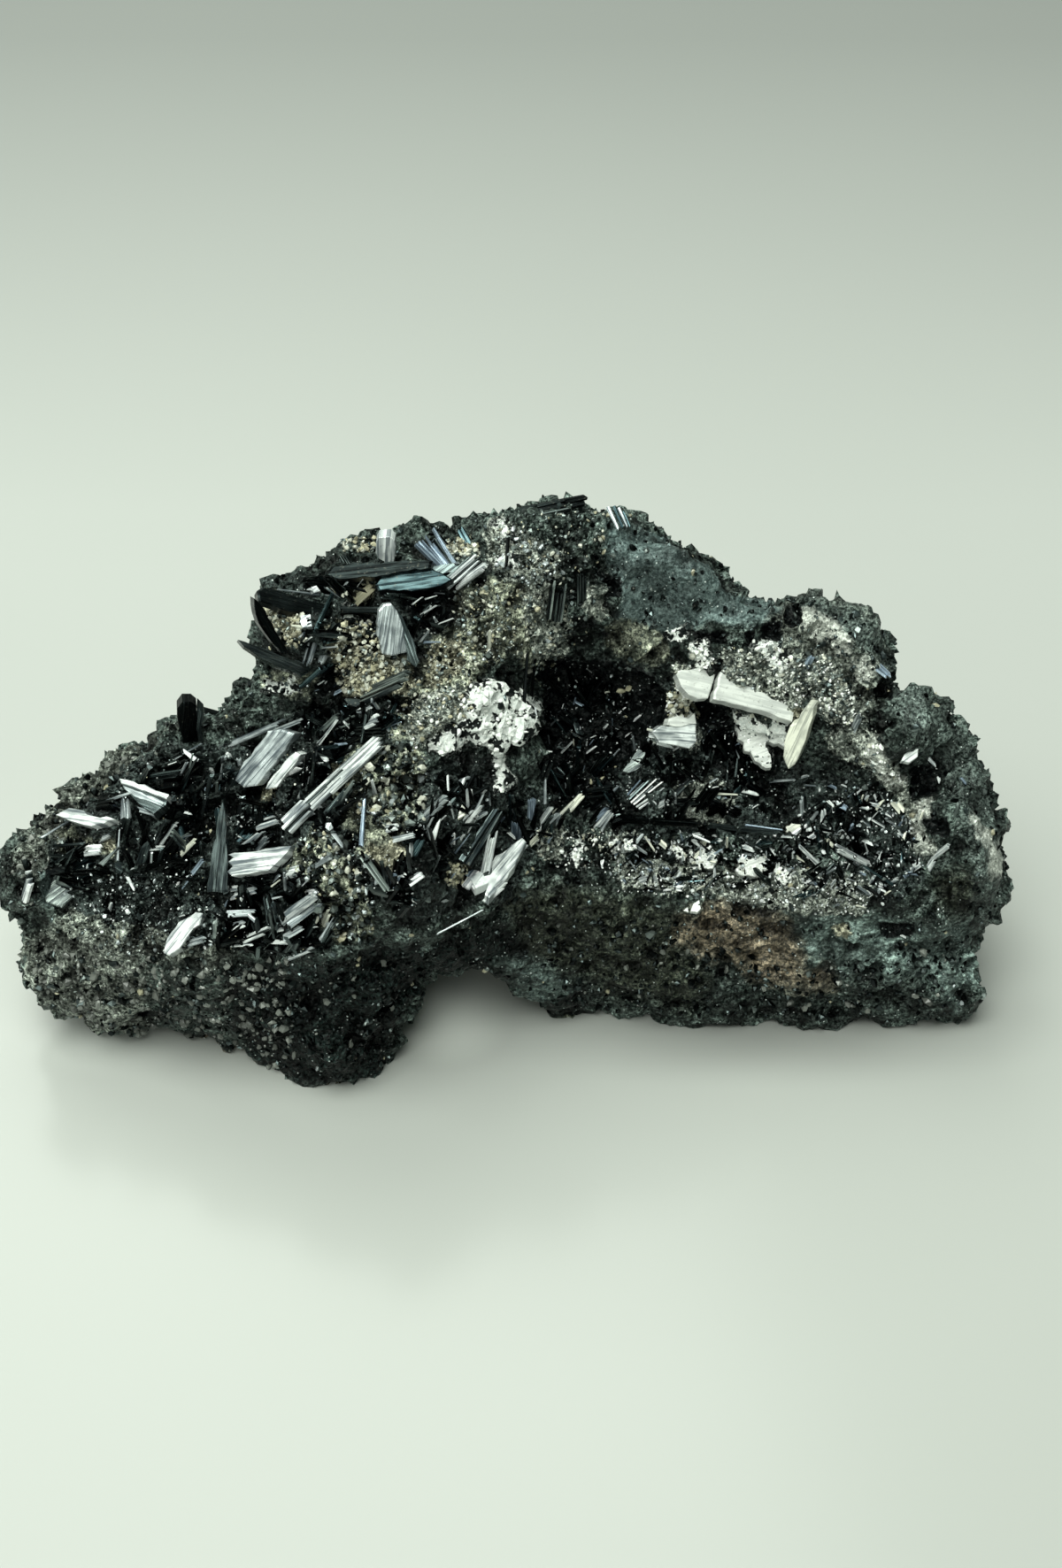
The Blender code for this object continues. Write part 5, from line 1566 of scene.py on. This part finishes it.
# %% Vug and centre
VUG_OUTLINE = (
    (605, 750), (640, 742), (700, 748), (738, 765), (770, 795), (800, 800), (828, 815), (850, 850),
    (880, 880), (880, 925), (800, 925), (760, 930), (700, 940), (660, 930), (620, 905), (602, 870),
    (602, 800),
)
CENTRE_OUTLINE = (
    (470, 880), (530, 868), (560, 888), (600, 900), (640, 915), (620, 960), (590, 990), (560, 1018),
    (520, 1020), (490, 1000), (476, 940),
)
VUG_BLADES = (
    (727, 769, 750, 752, 3, 1, "white"), (733, 768, 748, 757, 2, 1, "silver"),
    (697, 808, 707, 799, 3, 1, "white"), (712, 818, 724, 808, 3, 1, "white"),
    (632, 853, 647, 838, 3, 1, "white"), (662, 851, 674, 843, 3, 1, "white"),
    (592, 796, 596, 737, 4, 1, "black"), (600, 790, 605, 745, 5, 1, "black"),
    (616, 916, 616, 880, 4, 1, "silver"), (583, 950, 583, 925, 10, 3, "blue"),
    (573, 939, 583, 948, 4, 1, "white"), (601, 926, 601, 902, 8, 3, "blue"),
    (628, 926, 648, 905, 4, 1, "cream"), (648, 905, 659, 900, 6, 1, "cream"),
    (677, 942, 692, 919, 4, 1, "white"), (672, 928, 688, 914, 8, 4, "blue"),
    (549, 1017, 572, 996, 8, 3, "white"), (546, 998, 558, 937, 8, 3, "white"),
    (478, 925, 506, 900, 10, 4, "silver"), (460, 936, 476, 932, 5, 1, "white"),
    (718, 850, 715, 832, 4, 1, "silver"), (763, 920, 763, 896, 4, 1, "white"),
    (733, 901, 742, 909, 3, 1, "white"), (743, 911, 756, 904, 7, 3, "white"),
    (811, 868, 815, 875, 3, 1, "white"), (746, 912, 757, 907, 5, 2, "white"),
    (640, 918, 659, 897, 6, 2, "cream"), (671, 938, 690, 916, 5, 2, "white"),
    (664, 934, 678, 914, 4, 2, "blue"), (758, 850, 770, 842, 3, 1, "white"),
    (690, 858, 700, 846, 3, 1, "white"), (646, 806, 652, 799, 3, 1, "white"),
    (664, 778, 670, 772, 3, 1, "silver"), (620, 822, 630, 812, 3, 1, "silver"),
    (682, 824, 687, 818, 3, 1, "white"), (741, 868, 752, 862, 3, 1, "silver"),
    (810, 897, 834, 898, 3, 1, "cream"), (838, 893, 857, 898, 5, 1, "white"),
    (822, 914, 835, 911, 4, 1, "white"), (700, 925, 800, 933, 6, 2, "black"),
    (795, 932, 890, 942, 5, 2, "slate"), (835, 931, 885, 938, 2.5, 1, "blue"),
    (640, 905, 622, 870, 5, 1, "teal"), (487, 1059, 546, 1028, 2, 1, "silver"),
    (657, 692, 657, 644, 9, 3, "dark"), (553, 739, 553, 712, 5, 1, "cream"),
    (571, 729, 571, 719, 4, 1, "white"),
)
VUG_PLATES = (
    (((703, 872), (722, 846), (730, 850), (726, 866), (710, 874)), "grey", 0.5),
    (((517, 926), (522, 909), (530, 918)), "cream", 0.8),
    (((678, 972), (683, 971), (683, 986), (679, 987)), "white", 0.9),
    (((780, 1030), (783, 1022), (790, 1017), (792, 1027), (788, 1031)), "chalk", 0.9),
    (((772, 1029), (777, 1025), (778, 1031)), "chalk", 0.9),
)
bunch, rng = grow(37, VUG_BLADES, VUG_PLATES, (
    (VUG_OUTLINE, 230, ((50, 30, 2), (130, 30, 2), (90, 25, 1)), (12, 38), (4, 12)),
    (CENTRE_OUTLINE, 120, ANY_WAY, (14, 42), (4, 10))), VUG_TONES)
plant(bunch, rng, VUG_OUTLINE, 130, ANY_WAY, (3, 13), (1.4, 3.4), BRIGHT_TONES, (0.1, 0.6))
plant(bunch, rng, CENTRE_OUTLINE, 120, ((48, 14, 3), (90, 12, 1)), (8, 30), (2, 7), BRIGHT_TONES, (0.1, 0.6))
sow(bunch, rng, VUG_OUTLINE, 330, (0.06, 0.2), {"white": 2, "silver": 3, "grey": 6})
sow(bunch, rng, ((603, 937), (720, 940), (719, 962), (640, 990), (606, 970)), 190, (0.12, 0.3),
    {"cream": 3, "chalk": 2, "grey": 3, "dark": 3})
sow(bunch, rng, ((755, 782), (765, 774), (782, 778), (789, 812), (752, 814)), 240, (0.14, 0.44),
    {"cream": 6, "chalk": 5, "ochre": 4, "dark": 1})
sow(bunch, rng, ((505, 976), (528, 976), (528, 1001), (505, 1001)), 60, (0.14, 0.3),
    {"ochre": 5, "cream": 1})
close_bunch(bunch, "vug_lining", "vug_crystals")

# %% [markdown]
# ## The right field
# A belt of splinters and white grains along the lower right, thinning out up the rim.

# %% Right field
RIGHT_OUTLINE = (
    (690, 940), (760, 938), (890, 945), (920, 890), (960, 880), (1000, 890), (1035, 930), (1045, 985),
    (1020, 1015), (980, 1030), (900, 1022), (800, 1010), (720, 1008), (680, 985),
)
WHITE_BELT = (
    (690, 985), (720, 975), (780, 988), (880, 990), (985, 985), (990, 1035), (900, 1032), (800, 1014),
    (700, 1010),
)
RIGHT_BLADES = (
    (870, 883, 899, 881, 4, 1, "silver"), (899, 880, 914, 876, 5, 1, "white"),
    (905, 887, 922, 888, 3, 1, "white"), (908, 921, 907, 897, 8, 3, "silver"),
    (727, 942, 740, 962, 3, 1, "cream"), (706, 965, 720, 985, 2, 1, "silver"),
    (782, 943, 803, 952, 3.5, 1, "white"), (852, 955, 860, 948, 3, 1, "white"),
    (926, 978, 903, 956, 6, 1, "white"), (985, 979, 943, 957, 8, 3, "white"),
    (1014, 1003, 975, 978, 3, 1, "teal"), (932, 945, 942, 957, 6, 1, "cream"),
    (975, 920, 1000, 935, 4, 1, "white"), (1000, 926, 1012, 932, 3, 1, "silver"),
    (1012, 932, 1020, 946, 3, 1, "white"), (963, 825, 972, 808, 7, 2, "silver"),
    (986, 893, 991, 906, 3, 1, "white"), (993, 892, 999, 906, 3, 1, "grey"),
    (1010, 905, 1020, 918, 9, 2, "cream"), (1040, 926, 1044, 915, 6, 1, "cream"),
    (1079, 925, 1084, 905, 6, 2, "grey"), (908, 757, 918, 741, 6, 2, "blue"),
    (990, 752, 1005, 765, 8, 2, "blue"), (1048, 856, 1058, 866, 5, 1, "white"),
    (1058, 866, 1062, 885, 5, 1, "white"), (1078, 870, 1092, 886, 4, 1, "blue"),
    (1050, 972, 1073, 954, 8, 3, "white"), (1047, 985, 1055, 972, 6, 2, "white"),
    (960, 970, 985, 985, 5, 2, "silver"), (968, 1003, 982, 1012, 5, 2, "silver"),
    (893, 915, 900, 910, 4, 1, "white"), (970, 911, 980, 914, 4, 1, "white"),
    (1015, 1055, 1024, 1060, 4, 1, "white"),
)
RIGHT_PLATES = (
    (((884, 938), (892, 930), (910, 932), (911, 940), (905, 945), (893, 944)), "cream", 0.8),
    (((1018, 860), (1030, 841), (1038, 842), (1037, 855), (1028, 862)), "white", 0.8),
)
bunch, rng = grow(51, RIGHT_BLADES, RIGHT_PLATES, ((RIGHT_OUTLINE, 280, ANY_WAY, (10, 28), (2.5, 7)),))
plant(bunch, rng, RIGHT_OUTLINE, 280, ((-28, 16, 2), (45, 20, 2), (90, 20, 1)), (5, 16), (2.2, 7),
      BRIGHT_TONES, (0.1, 0.6))
plant(bunch, rng, ((913, 912), (940, 910), (940, 940), (913, 940)), 26, ((50, 8, 1),), (12, 24), (1.6, 2.6),
      {"teal": 4, "blue": 1}, (0.1, 0.4))
sow(bunch, rng, RIGHT_OUTLINE, 620, (0.08, 0.3), {"white": 5, "silver": 3, "grey": 2, "black": 3})
sow(bunch, rng, WHITE_BELT, 420, (0.08, 0.22), {"white": 4, "chalk": 5, "grey": 4, "black": 4})
close_bunch(bunch, "right_field", "right_field_crystals")

# %% [markdown]
# ## The white coats
# Druse is a crust of tiny crystals. On the rib, chalky grains are sown on the white ore, which gives the
# coat its crumbly edge. The thicker patches round the buried blade and along the belt are thin plates with
# ragged outlines. Each is hardened, so that its grains sit on it.

# %% White coats
CRUMB_TONES = {"chalk": 5, "cream": 2, "grey": 2, "dark": 1}
bunch, rng = new_bunch(), random.Random(5)
sow(bunch, rng, ZONES["white"][0], 80, (0.2, 0.5), {"chalk": 1}, 0.1)
sow(bunch, rng, ZONES["pale"][8], 120, (0.12, 0.3), {"chalk": 2, "grey": 3, "ochre": 2})
close_bunch(bunch, "white_coat", "white_druse")
bunch, rng = new_bunch(), random.Random(8)
for outline in ZONES["white"][1:8]:
    draw_plate(bunch, rng, broken_edge(outline, rng, 4, 1.6), "chalk", 0.3, 0.7, 20, brightness=0.62)
    harden(bunch)
    sow(bunch, rng, outline, 60, (0.12, 0.34), CRUMB_TONES, 0.25)
grounds[1:] = []
for outline in ZONES["white"][8:11] + ZONES["cream"][:1]:
    sow(bunch, rng, outline, 40, (0.12, 0.4), {"chalk": 8, "cream": 3, "grey": 1}, 0.25)
for outline in ZONES["pale"][2:4] + ZONES["pale"][10:11]:
    sow(bunch, rng, outline, 300, (0.12, 0.3), {"chalk": 3, "grey": 3, "cream": 2, "dark": 2})
close_bunch(bunch, "pale_coat", "pale_druse")

# %% [markdown]
# ## Grit on the ore
# The whole lump, back and sides too, is strewn with small angular grains of its own colour, with a few
# bright ones. They are spread over the faces by area. Broken ore also shows flat chips, so larger grains
# are sunk by half into the lobe, the foot and the lower wall.

# %% Grit all over
PALE_FACETS = {"stone": 12, "grey": 0.6, "dark": 4, "black": 3}
DARK_FACETS = {"stone": 1.4, "grey": 0.2, "dark": 5, "black": 9}
FACET_FIELDS = (
    # outline, count, tones: the lobe, the foot, the left rim and the lower wall
    (((40, 1060), (90, 1080), (180, 1082), (330, 1085), (335, 1212), (230, 1188), (100, 1165), (40, 1110)),
     640, PALE_FACETS),
    (((330, 1085), (500, 1075), (450, 1140), (430, 1210), (335, 1212)), 170, DARK_FACETS),
    (((10, 985), (60, 905), (140, 850), (200, 835), (100, 908), (50, 985), (50, 1050)), 110, PALE_FACETS),
    (((600, 1030), (760, 1040), (900, 1100), (1090, 1060), (1090, 1145), (760, 1150), (620, 1135)),
     400, DARK_FACETS),
)
GRIT_SIZE, GRIT_FLOOR = (0.15, 0.5), 0.6 * MM
GRIT_TONES = {"dark": 6, "black": 6, "slate": 3, "grey": 0.9, "ochre": 0.6, "silver": 0.3}


def grit_over(piece, count, rng):
    mesh = piece.data
    areas = np.zeros(len(mesh.polygons), np.float32)
    mesh.polygons.foreach_get("area", areas)
    share = np.cumsum(areas) / areas.sum()
    bunch = new_bunch()
    for pick in np.searchsorted(share, [rng.random() for _ in range(count)]):
        face = mesh.polygons[int(pick)]
        if face.center.z < GRIT_FLOOR:
            continue
        size = rng.uniform(*GRIT_SIZE) * MM
        tone = rng.choices(list(GRIT_TONES), list(GRIT_TONES.values()))[0]
        add_grain(bunch, rng, face.center + face.normal * size * 0.1, size, tone, rng.uniform(0.4, 1.0))
    sow(bunch, rng, ZONES["olive"][0], 620, (0.1, 0.36),
        {"grey": 6, "cream": 4, "ochre": 3, "silver": 1, "dark": 4})
    sow(bunch, rng, ZONES["slate"][0], 160, (0.1, 0.4), {"slate": 4, "dark": 4, "black": 3, "grey": 2})
    sow(bunch, rng, ZONES["lobe"][3], 160, (0.14, 0.5), {"grey": 4, "black": 4, "dark": 3, "slate": 4}, 0.3)
    for outline, count, tones in FACET_FIELDS:
        sow(bunch, rng, outline, count, (0.2, 0.65), tones, 0.5)
    return finish_bunch(bunch, "ore_grit", CRYSTAL)


grit = grit_over(ore, 4200, random.Random(77))
print("grit", len(grit.data.polygons), "faces")

# %% [markdown]
# ## Light and table
# The specimen stands on a pale glossy table. A large soft light above and behind it mirrors in the table,
# so the lump's dark reflection shows in front of it, deepened there by painted shadow in the table, and its
# front walls stay in shade. A weak glow from all round fills in.

# %% Lights
def add_area(name, place, size, power):
    lamp = bpy.data.lights.new(name, "AREA")
    lamp.shape = "RECTANGLE"
    lamp.size, lamp.size_y = size
    lamp.energy = power
    lamp.color = (0.94, 1.0, 0.92)
    made = bpy.data.objects.new(name, lamp)
    bpy.context.scene.collection.objects.link(made)
    made.location = place
    made.rotation_mode = "QUATERNION"
    made.rotation_quaternion = (AIM - made.location).to_track_quat("-Z", "Y")


LIGHTS = (
    # name, place, size, watts
    ("window", (-0.1, 0.24, 0.44), (0.36, 0.32), 1.7),
    ("overhead", (-0.08, -0.17, 0.52), (0.4, 0.4), 4.8),
    ("left_light", (-0.46, -0.04, 0.3), (0.25, 0.3), 0.8),
    ("front_fill", (-0.16, -0.5, 0.16), (0.3, 0.3), 1.0),
)
GLOW_COLOUR, GLOW_STRENGTH = (0.74, 1.0, 0.86, 1), 0.11
for light in LIGHTS:
    add_area(*light)
world = bpy.data.worlds.new("studio")
bpy.context.scene.world = world
world.use_nodes = True
world.node_tree.nodes["Background"].inputs["Color"].default_value = GLOW_COLOUR
world.node_tree.nodes["Background"].inputs["Strength"].default_value = GLOW_STRENGTH
print("lights", [item.name for item in bpy.data.lights])

# %% [markdown]
# The table is one large plane. Its tone is painted lighter in the middle and darker at the front and the
# back, as painted falloff of the light, and three soft pools in it deepen or ease the shade at the lump: a
# painted shadow in front of the right wall, and painted light by the left foot and under the arch. Colours
# are shown as they are, without a film look.

# %% Table
TABLE_FRONT, TABLE_MIDDLE = colour(0.335, 0.345, 0.327), colour(0.385, 0.396, 0.378)
TABLE_BACK, TABLE_CLOUD = colour(0.27, 0.279, 0.267), colour(0.2, 0.22, 0.2)
TABLE_SIZE, TABLE_GAP = 3, 0.00002
PAINTED_LIGHT_AND_SHADE_POOLS = (
    # middle across, middle forward, half width, half depth (all in mm), factor on the table's tone
    (19, -8.0, 25, 7.0, 0.45), (-28, -10, 7, 4, 1.2), (-4.5, -7.5, 5.5, 5.5, 1.9),
)
bpy.ops.object.select_all(action="DESELECT")
bpy.ops.mesh.primitive_plane_add(size=TABLE_SIZE, location=(0, 0, -TABLE_GAP))
table = bpy.context.object
table.name = "table"
material, tree, shader = new_material("table", 0.2, 0.0)
shader.inputs["Specular IOR Level"].default_value = 0.3
place = add_node(tree, "ShaderNodeTexCoord").outputs["Object"]
cloud = noise_node(tree, place, 9.0, 3.0)
back = add_node(tree, "ShaderNodeSeparateXYZ", {0: place}).outputs[1]
# painted shade: the table is painted darker at the front and darker still at the back, for the falloff of
# the light
table_tone_painted_shade = mix_colour(tree, map_range(tree, back, -0.05, 0.05), TABLE_FRONT, TABLE_MIDDLE)
table_tone_painted_shade = mix_colour(tree, map_range(tree, back, 0.06, 0.18), table_tone_painted_shade, TABLE_BACK)
# painted shadow where a pool's factor is below one, painted light where it is above one
for x, y, wide, deep, factor in PAINTED_LIGHT_AND_SHADE_POOLS:
    scaled = add_node(tree, "ShaderNodeMapping", {
        "Vector": place, "Location": (-x / wide, -y / deep, 0),
        "Scale": (PER_METRE / wide, PER_METRE / deep, 0)}).outputs[0]
    far = add_node(tree, "ShaderNodeVectorMath", {0: scaled}, operation="LENGTH").outputs["Value"]
    painted_pool = add_node(tree, "ShaderNodeMapRange", {0: far, 1: 0.0, 2: 1.0, 3: factor, 4: 1.0},
                    interpolation_type="SMOOTHSTEP").outputs[0]
    table_tone_painted_shade = mix_colour(tree, 1.0, table_tone_painted_shade, painted_pool, "MULTIPLY")
clouded = mix_colour(tree, map_range(tree, cloud, 0.3, 0.7, 0, 0.06), table_tone_painted_shade, TABLE_CLOUD)
tree.links.new(clouded, shader.inputs["Base Color"])
table.data.materials.append(material)
bpy.context.scene.view_settings.view_transform = "Standard"
bpy.context.scene.view_settings.look = "None"
print("table", table.name, "with", len(PAINTED_LIGHT_AND_SHADE_POOLS), "pools of tone")
